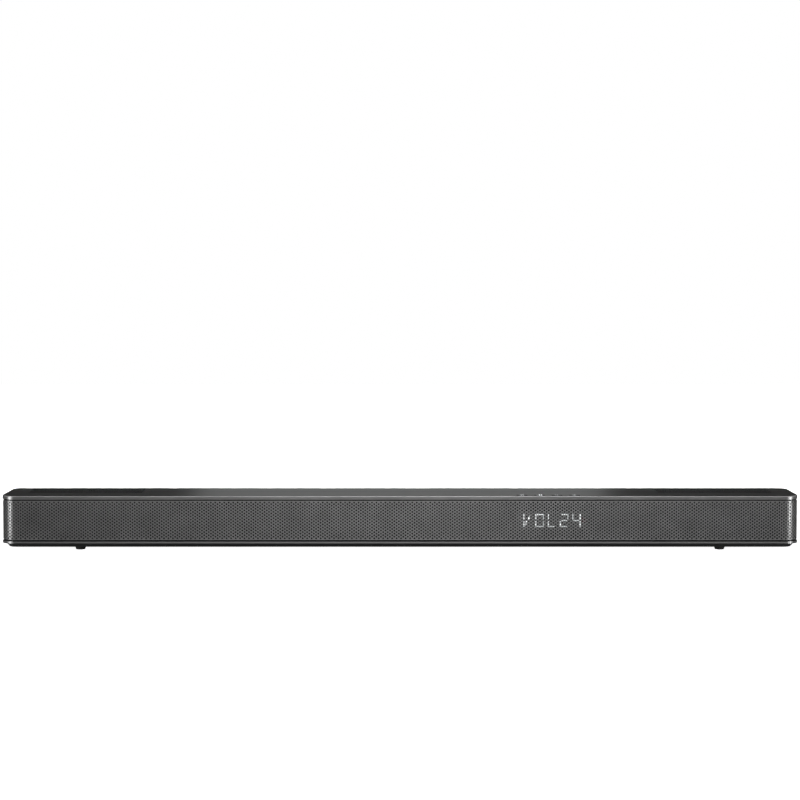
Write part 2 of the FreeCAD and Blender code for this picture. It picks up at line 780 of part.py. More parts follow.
def rear_panel():
    """The back wall with short side returns, two bays that step inwards, and two bosses
    for the wall bracket's inserts."""
    body = new_body("rear_panel")
    side = "(half_length - panel_setback)"
    inner_side = "(half_length - panel_setback - panel_thickness)"
    corner = "rear_corner_radius - panel_setback"
    inner_corner = "rear_corner_radius - panel_setback - panel_thickness"
    start = "side_end + assembly_gap"
    shell = (rectangle, (f"-{side}", side), (start, "rear - panel_setback"),
             (None, None, corner, corner))
    extrude(body, "Pad", "xy", "rim_top", "lip_low", shell)
    hollow = (rectangle, (f"-{inner_side}", inner_side), ("front", "panel_front"),
              (None, None, inner_corner, inner_corner))
    extrude(body, "Pocket", "xy", "rim_top", "lip_low", hollow)
    bays = (("port_bay_x", "port_bay_width"), ("mains_bay_x", "mains_bay_width"))
    height = ("bay_low - bay_wall", "bay_high + bay_wall")
    walls = [(rectangle, around(x, f"{width} + 2 * bay_wall"), height) for x, width in bays]
    extrude(body, "Pad", "xz", "bay_front", "rear - panel_setback", *walls)
    hollows = [(rectangle, around(x, width), ("bay_low", "bay_high")) for x, width in bays]
    extrude(body, "Pocket", "xz", "bay_back", "rear", *hollows)
    apertures = [
        (rectangle, around(x, f"{width} + 2 * aperture_clearance"),
         ("board_top - aperture_clearance", f"board_top + {height} + aperture_clearance"))
        for x, width, height in sockets()
    ]
    extrude(body, "Pocket", "xz", "bay_front", "bay_back", *apertures)
    boss = "wall_insert_radius + wall_boss_wall"
    inner_end = "rear - panel_setback - wall_insert_length"
    bosses = [(circle, x, "wall_insert_z", boss) for x in INSERTS]
    extrude(body, "Pad", "xz", inner_end, "panel_front", *bosses)
    bores = [(circle, x, "wall_insert_z", "wall_insert_radius") for x in INSERTS]
    extrude(body, "Pocket", "xz", inner_end, "rear", *bores)


def chamber_walls():
    """The two walls that part the speaker boxes from the electronics."""
    for name, sign in (("left_chamber_wall", "-"), ("right_chamber_wall", "")):
        item = block(
            around(f"{sign}chamber_wall_x", "chamber_wall_thickness"),
            ("baffle_back + assembly_gap", "panel_front - assembly_gap"),
            ("rim_top + assembly_gap", "ceiling - assembly_gap"),
            name,
        )
        foot = block(
            around(f"{sign}chamber_wall_x", "chamber_foot_width"),
            ("front + rim_width + assembly_gap", "rear - rim_width - assembly_gap"),
            ("floor_top", "rim_top + assembly_gap"),
        )
        item.Label = name + "_plate"
        fuse(name, [item, foot])


def rubber_feet():
    """Four tapered feet glued under the base shell. The part rests on them."""
    cones = []
    for x, y in feet():
        foot = doc.addObject("Part::Cone", "Foot")
        tie(foot, Radius1="foot_bottom_radius", Radius2="foot_top_radius", Height="foot_height")
        cones.append(place(foot, x, y))
    group("rubber_feet", cones)


def top_grilles():
    """Flush perforated sheets over the up-firing drivers, drawn as closed sheets."""
    for side, x in zip(("left", "right"), UP_DRIVERS.values()):
        body = new_body(f"{side}_top_grille")
        length = "top_grille_length - 2 * aperture_clearance"
        depth = "up_driver_height + 2 * top_grille_border - 2 * aperture_clearance"
        corner = "top_grille_corner - aperture_clearance"
        outline = (plate, x, "up_driver_y", length, depth, corner)
        extrude(body, "Pad", "xy", "bar_height - top_grille_thickness", "bar_height", outline)


# ---------------------------------------------------------------- drivers


def driver(name, size, x, y, z, rotation):
    """One driver about its own axis: its flange's front face is at 0 and it looks along
    its own +Z."""
    width, height = size
    opening = (f"{width} - 2 * flange_rim", f"{height} - 2 * flange_rim")
    edge = tuple(f"({text} - 2 * surround_width)" for text in opening)
    cup = tuple(f"{text} + 2 * basket_wall" for text in opening)
    bodies = [
        basket(f"{name}_basket", size, opening, cup),
        magnet(f"{name}_magnet"),
        surround(f"{name}_surround", opening, edge),
        cone(f"{name}_cone", edge),
        voice_coil(f"{name}_voice_coil"),
    ]
    for body in bodies:
        place(body, x, y, z, rotation)


def basket(name, size, opening, cup):
    """A pressed flange with a windowed cup behind it that ends in the magnet's seat."""
    body = new_body(name)
    flange = (plate, "0", "0", *size, "flange_corner_radius")
    extrude(body, "Pad", "xy", "-flange_thickness", "0", flange)
    extrude(body, "Pad", "xy", "-basket_depth", "-flange_thickness", (racetrack, *cup))
    extrude(body, "Pocket", "xy", "basket_wall - basket_depth", "0", (racetrack, *opening))
    hole = (circle, "0", "0", "coil_radius + coil_thickness + 2 * coil_clearance")
    extrude(body, "Pocket", "xy", "-basket_depth", "basket_wall - basket_depth", hole)
    window_low = "2 * basket_wall - basket_depth"
    window_high = "-flange_thickness - basket_wall - surround_height / 2"
    windows = [
        (rectangle, around(middle, "basket_window"), (window_low, window_high))
        for middle in ("-2 * basket_window", "0", "2 * basket_window")
    ]
    extrude(body, "Pocket", "xz", f"-({size[1]})", size[1], *windows)
    bore = "driver_screw_radius + screw_clearance"
    holes = [(circle, dx, dy, bore) for dx, dy in driver_corners(*size)]
    extrude(body, "Pocket", "xy", "-flange_thickness", "0", *holes)
    return body


def magnet(name):
    """The magnet with its plates and pole in one, and the ring gap for the voice coil."""
    body = new_body(name)
    back = "-basket_depth - magnet_height"
    extrude(body, "Pad", "xy", back, "-basket_depth", (circle, "0", "0", "magnet_radius"))
    gap = [
        (circle, "0", "0", "coil_radius - coil_clearance"),
        (circle, "0", "0", "coil_radius + coil_thickness + coil_clearance"),
    ]
    extrude(body, "Pocket", "xy", f"{back} + magnet_back", "-basket_depth", *gap)
    return body


def surround(name, opening, edge):
    """The rubber roll between the cone's edge and the flange."""
    body = new_body(name)
    inner = tuple(f"{text} + 2 * bond_gap" for text in edge)
    low, high = "-surround_recess - surround_height", "-surround_recess"
    extrude(body, "Pad", "xy", low, high, (racetrack, *opening), (racetrack, *inner))
    dress(body, "Fillet", high, Radius="surround_roll")
    return body


def cone(name, edge):
    """A one-piece diaphragm, a racetrack at the rim and nearly round at its neck."""
    body = new_body(name)
    across = "2 * coil_radius + 2 * coil_thickness"
    neck = (f"{across} + cone_neck_stretch", across)
    near, far = "-cone_recess", "-cone_recess - cone_depth"
    loft(body, "AdditiveLoft", (near, *edge), (far, *neck))
    near, far = (f"{level} + cone_thickness" for level in (near, far))
    loft(body, "SubtractiveLoft", (near, *edge), (far, *neck))
    return body


def voice_coil(name):
    """The former and its winding, bonded behind the cone's neck."""
    body = new_body(name)
    top = "-cone_recess - cone_depth"
    ring = [(circle, "0", "0", "coil_radius"), (circle, "0", "0", "coil_radius + coil_thickness")]
    extrude(body, "Pad", "xy", f"{top} - coil_length", top, *ring)
    return body


def drivers():
    for name, x in FRONT_DRIVERS.items():
        driver(name, FRONT_SIZE, x, "baffle_back", "front_driver_z", FACING_FRONT)
    for name, x in UP_DRIVERS.items():
        driver(name, UP_SIZE, x, "up_driver_y", "ceiling", FACING_UP)


# ---------------------------------------------------------------- display and keys


def strokes(margin, y_front, y_back):
    """Every lit stroke of the readout as a slanted or upright bar through the front."""
    for position, names in READOUT.items():
        middle = f"display_x + ({position} - 2) * glyph_pitch"
        for name in names:
            left, left_top, width, low, high = STROKES[name]
            bar = doc.addObject("Part::Wedge", "Stroke")
            tie(bar, Xmin=f"{left} - {margin}", Xmax=f"{left} + {width} + {margin}")
            tie(bar, X2min=f"{left_top} - {margin}", X2max=f"{left_top} + {width} + {margin}")
            tie(bar, Ymin=f"{low} - {margin}", Ymax=f"{high} + {margin}")
            tie(bar, Zmin="0", Zmax=f"({y_back}) - ({y_front})")
            tie(bar, Z2min="0", Z2max=f"({y_back}) - ({y_front})")
            yield place(bar, middle, y_back, "display_z", FACING_FRONT)


def display_screws():
    for sign in ("-", "+"):
        yield f"display_x {sign} (display_half_length + board_screw_inset)"


def display():
    """The display board behind the baffle and the light guides that reach the grille."""
    guides = strokes("0", "front + grille_setback", "baffle_back")
    group("display_segments", list(guides))
    body = new_body("display_board")
    ends = (
        "display_x - display_half_length - 2 * board_screw_inset",
        "display_x + display_half_length + 2 * board_screw_inset",
    )
    outline = (rectangle, ends, around("display_z", "2 * display_half_height + display_border"))
    back = "baffle_back + board_thickness"
    extrude(body, "Pad", "xz", "baffle_back", back, outline)
    bore = "board_screw_radius + screw_clearance"
    holes = [(circle, x, "display_z", bore) for x in display_screws()]
    extrude(body, "Pocket", "xz", "baffle_back", back, *holes)
    receiver_x = "display_x + display_half_length - (display_border + receiver_side) / 2"
    receiver = block(
        around(receiver_x, "receiver_side"),
        ("baffle_back - receiver_depth", "baffle_back"),
        around("display_z", "receiver_side"),
        "ir_receiver",
    )
    receiver.Label = "ir_receiver"


def key_places():
    names = ("power_key", "source_key", "volume_down_key", "volume_up_key")
    return {name: f"(key_x + ({i} - 1.5) * key_pitch)" for i, name in enumerate(names)}


def key_board_screws():
    for sign in ("-", "+"):
        yield f"key_x {sign} key_post_reach"


def keys():
    """Four caps with a hidden flange and a stem that reaches down to the switch."""
    flange_top = "ceiling - key_flange_gap"
    flange_low = f"{flange_top} - key_flange_thickness"
    stem_low = "key_board_top + switch_height + plunger_height + key_travel + key_flange_gap"
    for name, x in key_places().items():
        body = new_body(name)
        cap = ("key_length - 2 * key_gap", "key_width - 2 * key_gap", "key_corner_radius - key_gap")
        extrude(body, "Pad", "xy", flange_top, "bar_height + key_proud", (plate, x, "key_y", *cap))
        skirt = ("key_length + 2 * key_flange", "key_width + 2 * key_flange", "key_corner_radius")
        extrude(body, "Pad", "xy", flange_low, flange_top, (plate, x, "key_y", *skirt))
        stem = (plate, x, "key_y", "key_stem", "key_stem")
        extrude(body, "Pad", "xy", stem_low, flange_low, stem)


def key_board():
    """The small board under the keys and its four tact switches."""
    body = new_body("key_board")
    outline = (plate, "key_x", "key_board_y", "2 * key_board_half_length", "key_board_depth")
    low = "key_board_top - board_thickness"
    extrude(body, "Pad", "xy", low, "key_board_top", outline)
    bore = "board_screw_radius + screw_clearance"
    holes = [(circle, x, "key_y", bore) for x in key_board_screws()]
    extrude(body, "Pocket", "xy", low, "key_board_top", *holes)
    switches = []
    for x in key_places().values():
        case_top = "key_board_top + switch_height"
        case = block(around(x, "switch_side"), around("key_y", "switch_side"),
                     ("key_board_top", case_top))
        plunger = rod(x, "key_y", case_top, "plunger_radius", "plunger_height")
        switches.append(fuse("Switch", [case, plunger]))
    group("tact_switches", switches)


# ---------------------------------------------------------------- boards and sockets


def flat_board(name, x, width, depth, chips):
    """A board on the base shell's standoffs, with its soldered chips in one with it."""
    body = new_body(name)
    limits = (around(x, width), (f"main_board_back - {depth}", "main_board_back"))
    extrude(body, "Pad", "xy", "board_low", "board_top", (rectangle, *limits))
    extrude(body, "Pad", "xy", "board_top", "board_top + board_thickness", *chips)
    places = board_corners(x, width, "main_board_back", depth)
    holes = [(circle, dx, dy, "board_screw_radius + screw_clearance") for dx, dy in places]
    extrude(body, "Pocket", "xy", "board_low", "board_top", *holes)


def socket(x, width, height, depth, tongue):
    """A rectangular socket that opens to the back, with a contact tongue if it has one."""
    wall = "socket_wall"
    shell = block(around(x, width), (f"bay_back - {depth}", "bay_back"),
                  ("board_top", f"board_top + {height}"))
    cavity = block(
        around(x, f"{width} - 2 * {wall}"),
        (f"bay_back - {depth} + 3 * {wall}", f"bay_back + {wall}"),
        (f"board_top + {wall}", f"board_top + {height} - {wall}"),
    )
    item = cut("Socket", shell, cavity)
    if not tongue:
        return item
    blade = block(
        around(x, f"{width} - 4 * {wall}"),
        (f"bay_back - {depth} + {wall}", "bay_back - 2 * socket_tongue"),
        around(f"board_top + {height} / 2", "socket_tongue"),
    )
    return fuse("Socket", [item, blade])


def ports():
    hdmi = [
        socket(f"port_bay_x + hdmi_offset + {place_along} * hdmi_pitch",
               "hdmi_width", "hdmi_height", "socket_depth", True)
        for place_along in (0, 1)
    ]
    group("hdmi_ports", hdmi)
    usb = socket("port_bay_x + usb_offset", "usb_width", "usb_height", "socket_depth", True)
    usb.Label = "usb_port"
    optical = socket("port_bay_x + optical_offset", "optical_width", "optical_height",
                     "socket_depth", False)
    optical.Label = "optical_port"
    aux_x = "port_bay_x + aux_offset"
    case = block(around(aux_x, "aux_side"), ("bay_back - socket_depth", "bay_back"),
                 ("board_top", "board_top + aux_side"))
    bore = rod(aux_x, "bay_back + socket_wall", "board_top + aux_side / 2", "aux_bore",
               "socket_depth - 2 * socket_wall", FACING_FRONT)
    cut("aux_jack", case, bore)


def mains_inlet():
    """A two-pin figure-8 inlet: a walled cavity with round contact pins."""
    shell = block(around("mains_bay_x", "inlet_width"), ("bay_back - inlet_depth", "bay_back"),
                  ("board_top", "board_top + inlet_height"))
    cavity = block(
        around("mains_bay_x", "inlet_width - 2 * inlet_wall"),
        ("bay_back - inlet_cavity_depth", "bay_back + inlet_wall"),
        ("board_top + inlet_wall", "board_top + inlet_height - inlet_wall"),
    )
    housing = cut("InletHousing", shell, cavity)
    root = "bay_back - inlet_cavity_depth - inlet_wall"
    pins = [
        rod(f"mains_bay_x {sign} inlet_pin_pitch / 2", f"{root} + inlet_pin_length + inlet_wall",
            "inlet_z", "inlet_pin_radius", "inlet_pin_length + inlet_wall", FACING_FRONT)
        for sign in ("-", "+")
    ]
    fuse("mains_inlet", [housing, *pins])


def on_board(board_x, part):
    """The middle of a part that stands on one of the flat boards."""
    return f"{board_x} + {part}_offset", f"main_board_back - {part}_setback"


def electronics():
    main_chips = [
        (plate, *on_board("port_bay_x", "amplifier"), "amplifier_length", "amplifier_depth"),
        (plate, *on_board("port_bay_x", "processor"), "processor_side", "processor_side"),
    ]
    flat_board("main_board", "port_bay_x", "main_board_width", "main_board_depth", main_chips)
    power_chips = [
        (plate, *on_board("power_board_x", "converter"), "converter_length", "converter_depth"),
    ]
    flat_board("power_board", "power_board_x", "power_board_width", "power_board_depth",
               power_chips)
    ports()
    mains_inlet()
    heat_sink()
    power_parts()
    wireless_module()


def heat_sink():
    """A finned block that stands on the amplifier end of the main board."""
    x, y = on_board("port_bay_x", "sink")
    base_top = "board_top + sink_base"
    base = block(around(x, "sink_length"), around(y, "sink_depth"), ("board_top", base_top))
    fins = [
        block(around(f"{x} + {step} * fin_pitch", "fin_thickness"), around(y, "sink_depth"),
              (base_top, "board_top + sink_height"))
        for step in (-2, -1, 0, 1, 2)
    ]
    fuse("heat_sink", [base, *fins])


def power_parts():
    """The transformer and the two bulk capacitors on the power board."""
    x, y = on_board("power_board_x", "transformer")
    core = block(around(x, "transformer_length"), around(y, "transformer_depth"),
                 ("board_top", "board_top + transformer_height"))
    winding = block(around(x, "winding_length"), around(y, "winding_depth"),
                    ("board_top + winding_inset", "board_top + transformer_height - winding_inset"))
    fuse("power_transformer", [core, winding])
    cans = [
        rod(f"power_board_x + {place_along}_capacitor_offset", y, "board_top",
            "capacitor_radius", "capacitor_height")
        for place_along in ("near", "far")
    ]
    group("bulk_capacitors", cans)


def wireless_module():
    """The radio board, which stands upright on the main board, with its shield can."""
    x, y = on_board("port_bay_x", "radio")
    board = block(around(x, "radio_length"), around(y, "radio_thickness"),
                  ("board_top", "board_top + radio_height"))
    can_low = "board_top + can_lift"
    can = block(around(x, "can_length"), (f"{y} - can_depth", y),
                (can_low, f"{can_low} + can_height"))
    fuse("wireless_module", [board, can])


# ---------------------------------------------------------------- fasteners


def fasteners():
    case = ("case_screw_radius", "case_screw_length", "case_head_radius", "case_head_height")
    case_screws = [
        screw(x, y, "foot_height + case_head_height", *case) for x, y in towers()
    ]
    group("case_screws", case_screws)

    into_front = ("driver_screw_radius", "flange_thickness + driver_screw_bite",
                  "driver_head_radius", "driver_head_height")
    driver_screws = [
        screw(f"{x} + {dx}", "baffle_back + flange_thickness", f"front_driver_z + {dz}",
              *into_front, FACING_FRONT)
        for x in FRONT_DRIVERS.values()
        for dx, dz in driver_corners(*FRONT_SIZE)
    ]
    driver_screws += [
        screw(f"{x} + {dx}", f"up_driver_y + {dy}", "ceiling - flange_thickness", *into_front)
        for x in UP_DRIVERS.values()
        for dx, dy in driver_corners(*UP_SIZE)
    ]
    group("driver_screws", driver_screws)

    head = ("board_head_radius", "board_head_height")
    downwards = FreeCAD.Rotation(Vector(1, 0, 0), 180)
    board_screws = [
        screw(x, y, "board_top", "board_screw_radius", "board_screw_length", *head, downwards)
        for x, y in flat_boards()
    ]
    board_screws += [
        screw(x, "key_y", "key_board_top - board_thickness", "board_screw_radius",
              "board_screw_length", *head)
        for x in key_board_screws()
    ]
    board_screws += [
        screw(x, "baffle_back + board_thickness", "display_z", "board_screw_radius",
              "board_thickness + driver_screw_bite", *head, FACING_FRONT)
        for x in display_screws()
    ]
    group("board_screws", board_screws)

    inserts = []
    for x in INSERTS:
        y = "rear - panel_setback"
        outer = rod(x, y, "wall_insert_z", "wall_insert_radius", "wall_insert_length", FACING_FRONT)
        bore = rod(x, y, "wall_insert_z", "wall_insert_bore", "wall_insert_length", FACING_FRONT)
        inserts.append(cut("Insert", outer, bore))
    group("wall_mount_inserts", inserts)


# ---------------------------------------------------------------- checks and files

DRIVER_PIECES = ("basket", "magnet", "surround", "cone", "voice_coil")
NODES = (
    "base_shell", "top_cover", "rear_panel", "front_baffle", "front_grille", "acoustic_cloth",
    "left_chamber_wall", "right_chamber_wall", "left_top_grille", "right_top_grille",
    *(f"{name}_{piece}" for name in (*FRONT_DRIVERS, *UP_DRIVERS) for piece in DRIVER_PIECES),
    "display_board", "display_segments", "ir_receiver", "key_board", "tact_switches",
    *key_places(),
    "main_board", "wireless_module", "heat_sink", "hdmi_ports", "optical_port", "usb_port",
    "aux_jack", "power_board", "power_transformer", "bulk_capacitors", "mains_inlet",
    "rubber_feet", "case_screws", "driver_screws", "board_screws", "wall_mount_inserts",
)


def check_document():
    """Stops on a failed object, a pocket that cuts nothing, or a bad shape."""
    for item in doc.Objects:
        if {"Invalid", "Error"} & set(item.State):
            raise RuntimeError(f"{item.Label} ({item.Name}) is {item.State}")
        if item.TypeId == "PartDesign::Pocket":
            removed = item.BaseFeature.Shape.Volume - item.Shape.Volume
            if removed < SMALLEST_CUT:
                raise RuntimeError(f"{item.Name} cuts nothing")
    for name in NODES:
        shape = node(name).Shape
        if shape.isNull() or not shape.isValid() or not shape.Solids:
            raise RuntimeError(f"{name} has a bad shape")


def node(name):
    return doc.getObjectsByLabel(name)[0]


def write_files():
    os.makedirs("parts", exist_ok=True)
    for name in NODES:
        shape = node(name).Shape
        shape.exportStep(f"parts/{name}.step")
        print(f"{name}: {len(shape.Solids)} solids, {shape.Volume:.0f} mm3")


fill_sheet()
base_shell()
top_cover()
front_baffle()
front_grille()
acoustic_cloth()
rear_panel()
chamber_walls()
rubber_feet()
top_grilles()
drivers()
display()
keys()
key_board()
electronics()
fasteners()
doc.recompute()
check_document()
write_files()
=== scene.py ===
"""Soundbar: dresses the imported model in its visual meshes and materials, and lights it from
the front. Metres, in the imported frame: X to the right, the front facing -Y, Z up.
"""

import math

import bpy
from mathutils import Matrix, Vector

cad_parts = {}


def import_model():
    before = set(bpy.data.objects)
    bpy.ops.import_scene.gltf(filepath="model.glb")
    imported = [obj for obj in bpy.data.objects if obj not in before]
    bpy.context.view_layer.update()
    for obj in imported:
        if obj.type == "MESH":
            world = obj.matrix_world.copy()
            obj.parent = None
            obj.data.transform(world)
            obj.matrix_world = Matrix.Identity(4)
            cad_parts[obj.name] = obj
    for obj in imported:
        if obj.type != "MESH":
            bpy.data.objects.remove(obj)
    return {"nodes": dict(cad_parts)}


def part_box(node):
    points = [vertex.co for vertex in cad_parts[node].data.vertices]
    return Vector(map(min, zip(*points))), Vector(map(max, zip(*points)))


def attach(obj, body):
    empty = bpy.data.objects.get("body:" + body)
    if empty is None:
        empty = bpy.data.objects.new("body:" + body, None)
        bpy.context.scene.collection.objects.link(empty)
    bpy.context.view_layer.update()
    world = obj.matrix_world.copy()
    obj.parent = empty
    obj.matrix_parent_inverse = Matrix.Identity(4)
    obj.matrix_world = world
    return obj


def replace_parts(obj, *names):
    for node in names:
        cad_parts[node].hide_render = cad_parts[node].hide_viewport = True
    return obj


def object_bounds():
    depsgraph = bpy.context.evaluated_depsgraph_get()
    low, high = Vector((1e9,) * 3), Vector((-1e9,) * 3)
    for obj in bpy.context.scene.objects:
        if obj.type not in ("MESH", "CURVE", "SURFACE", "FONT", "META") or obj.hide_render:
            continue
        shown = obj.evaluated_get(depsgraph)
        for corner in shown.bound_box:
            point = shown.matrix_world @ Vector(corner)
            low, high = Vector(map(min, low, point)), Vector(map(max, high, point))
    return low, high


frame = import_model()
cad_low, cad_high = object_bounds()
nodes = frame["nodes"]

MM = 0.001
CABINET = "cabinet"

# Perforated front grille: a staggered lattice pressed into one sheet.
GRILLE_COLUMN_PITCH = 2.8 * MM
GRILLE_HOLE_PITCH = 3.9 * MM
GRILLE_HOLE_RADIUS = 1.25 * MM
GRILLE_THICKNESS = 0.8 * MM
GRILLE_CORNER = 19.5 * MM
GRILLE_TOP_REVEAL = 0.7 * MM  # shadow gaps above and below, over the cloth
GRILLE_FOOT_REVEAL = 0.45 * MM

# Perforated top grilles: the same lattice, finer, inside a pressed frame.
TOP_COLUMN_PITCH = 1.9 * MM
TOP_HOLE_PITCH = 2.2 * MM
TOP_HOLE_RADIUS = 0.75 * MM
TOP_FRAME_WIDTH = 2.6 * MM
TOP_FRAME_CORNER = 3.8 * MM
TOP_FRAME_PROUD = 0.06 * MM
TOP_FRAME_SOFT = 0.15 * MM
TOP_SHEET_INSET = 0.8 * TOP_FRAME_WIDTH  # the rest of the frame's width laps over the sheet

HOLE_SIDES = 12
CELL_STEPS = 2  # lattice steps that one hole's cell takes up
CORNER_SEGMENTS = 8  # of a quarter turn
SMOOTH_ANGLE = math.radians(35)
MICRON_DIGITS = 6  # places are rounded to micrometres before they are compared


# ---------------------------------------------------------------- meshes


def piece(name, points, faces, slot, body=CABINET, finish=None):
    """A new mesh piece that rides on a body and takes its finish from a slot."""
    mesh = bpy.data.meshes.new(name)
    mesh.from_pydata([tuple(p) for p in points], [], faces)
    mesh.validate()
    mesh.shade_smooth()
    mesh.set_sharp_from_angle(angle=SMOOTH_ANGLE)
    made = bpy.data.objects.new(name, mesh)
    bpy.context.scene.collection.objects.link(made)
    mesh.materials.append(FINISHES[finish or slot])
    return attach(made, body)


class Sheet:
    """A flat or bent sheet, laid out in its own length s and height t, and bent by shape()."""

    def __init__(self, shape, thickness):
        self.shape = shape
        self.thickness = thickness
        self.layout = []
        self.faces = []

    def point(self, s, t):
        """A point on both skins; returns its number."""
        self.layout.append((s, t))
        return len(self.layout) - 1

    def skin(self, *loop):
        """The face on the outer skin, and its twin on the inner one."""
        self.faces.append([2 * i for i in loop])
        self.faces.append([2 * i + 1 for i in reversed(loop)])

    def wall(self, first, second):
        """The thickness between the skins, along one edge."""
        self.faces.append([2 * second, 2 * first, 2 * first + 1, 2 * second + 1])

    def points(self):
        """Every point twice, on the outer skin and then on the inner one."""
        return [
            self.shape(s, t, depth)
            for s, t in self.layout
            for depth in (0, self.thickness)
        ]


def perforate(sheet, s_lines, t_lines, radius, phase, holed):
    """Fills a grid of lines with solid quads and staggered holes, each in a cell of two steps."""
    grid = [[sheet.point(s, t) for t in t_lines] for s in s_lines]
    last = len(t_lines) - 1
    for column in range(len(s_lines) - 1):
        left, right = grid[column], grid[column + 1]
        row = 0
        while row < last:
            is_cell = (
                holed(column)
                and row >= 1
                and (row + phase + column) % CELL_STEPS == 1
                and row + CELL_STEPS <= last - 1
            )
            if is_cell:
                cell = [
                    right[row + 1], right[row + 2], left[row + 2],
                    left[row + 1], left[row], right[row],
                ]
                middle_s = (s_lines[column] + s_lines[column + 1]) / 2
                punch(sheet, cell, middle_s, t_lines[row + 1], radius)
                row += CELL_STEPS
            else:
                sheet.skin(left[row], right[row], right[row + 1], left[row + 1])
                row += 1
    for column in range(len(s_lines) - 1):
        sheet.wall(grid[column][0], grid[column + 1][0])
        sheet.wall(grid[column + 1][last], grid[column][last])
    for row in range(last):
        sheet.wall(grid[0][row + 1], grid[0][row])
        sheet.wall(grid[-1][row], grid[-1][row + 1])


def punch(sheet, cell, s, t, radius):
    """A round hole in a six-cornered cell, whose first corner is to the right of the hole."""
    rim = []
    for side in range(HOLE_SIDES):
        angle = 2 * math.pi * side / HOLE_SIDES
        rim.append(sheet.point(s + radius * math.cos(angle), t + radius * math.sin(angle)))
    step = HOLE_SIDES // len(cell)
    for corner in range(len(cell)):
        here = corner * step
        after = (corner + 1) % len(cell)
        sheet.skin(cell[corner], rim[(here + 1) % HOLE_SIDES], rim[here])
        sheet.skin(cell[corner], cell[after], rim[after * step], rim[(here + 1) % HOLE_SIDES])
    for side in range(HOLE_SIDES):
        sheet.wall(rim[(side + 1) % HOLE_SIDES], rim[side])


def lattice_lines(length, pitch, group=1):
    """Lines over a length: as many groups of steps as fit, between two plain margins."""
    steps = group * int(length / pitch / group)
    margin = (length - steps * pitch) / 2
    return [0] + [margin + i * pitch for i in range(steps + 1)] + [length]


def front_grille():
    """The wrap-round grille, in two halves that share the lattice's middle line."""
    low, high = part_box("front_grille")
    high.z -= GRILLE_TOP_REVEAL
    low.z += GRILLE_FOOT_REVEAL
    side = high.y - low.y - GRILLE_CORNER
    arc = GRILLE_CORNER * math.pi / 2
    flat = high.x - low.x - 2 * GRILLE_CORNER
    length = 2 * (side + arc) + flat

    def bent(s, t, depth):
        """Along the left side, round the corner, across the front, and back again."""
        mirror = 1
        if s > length / 2:
            mirror, s = -1, length - s
        radius = GRILLE_CORNER - depth
        if s < side:
            x, y = -radius, side - s
        elif s < side + arc:
            turn = (s - side) / GRILLE_CORNER
            x, y = -radius * math.cos(turn), -radius * math.sin(turn)
        else:
            x, y = s - side - arc, -radius
        middle = (low.x + high.x) / 2
        return (
            middle + mirror * (low.x + GRILLE_CORNER + x - middle),
            low.y + GRILLE_CORNER + y,
            low.z + t,
        )

    s_lines = lattice_lines(length, GRILLE_COLUMN_PITCH, CELL_STEPS)
    t_lines = lattice_lines(high.z - low.z, GRILLE_HOLE_PITCH / CELL_STEPS)
    half = len(s_lines) // 2
    for name, lines, first, phase in (
        ("front_grille_left_half", s_lines[: half + 1], 1, 0),
        ("front_grille_right_half", s_lines[half:], 0, half),
    ):
        sheet = Sheet(bent, GRILLE_THICKNESS)
        last = len(lines) - 1 if first else len(lines) - 2
        perforate(sheet, lines, t_lines, GRILLE_HOLE_RADIUS, phase,
                  lambda column: first <= column < last)
        made = piece(name, sheet.points(), sheet.faces, "grille_metal")
        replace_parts(made, "front_grille")


def rounded_rectangle(low, high, radius):
    """Points anticlockwise round a rectangle with round corners."""
    outline = []
    corners = (
        (high.x - radius, high.y - radius), (low.x + radius, high.y - radius),
        (low.x + radius, low.y + radius), (high.x - radius, low.y + radius),
    )
    for quarter, (x, y) in enumerate(corners):
        for step in range(CORNER_SEGMENTS + 1):
            angle = math.pi / 2 * (quarter + step / CORNER_SEGMENTS)
            outline.append((x + radius * math.cos(angle), y + radius * math.sin(angle)))
    return outline


def skin_over(rings, closed, points, faces):
    """Adds a skin over rings of equally many points, closed into a band or capped at both ends."""
    start, count = len(points), len(rings[0])
    points += [p for ring in rings for p in ring]
    for ring in range(len(rings) if closed else len(rings) - 1):
        here = start + ring * count
        after = start + (ring + 1) % len(rings) * count
        for i in range(count):
            j = (i + 1) % count
            faces.append((here + i, here + j, after + j, after + i))
    if not closed:
        faces.append(tuple(start + i for i in reversed(range(count))))
        faces.append(tuple(len(points) - count + i for i in range(count)))


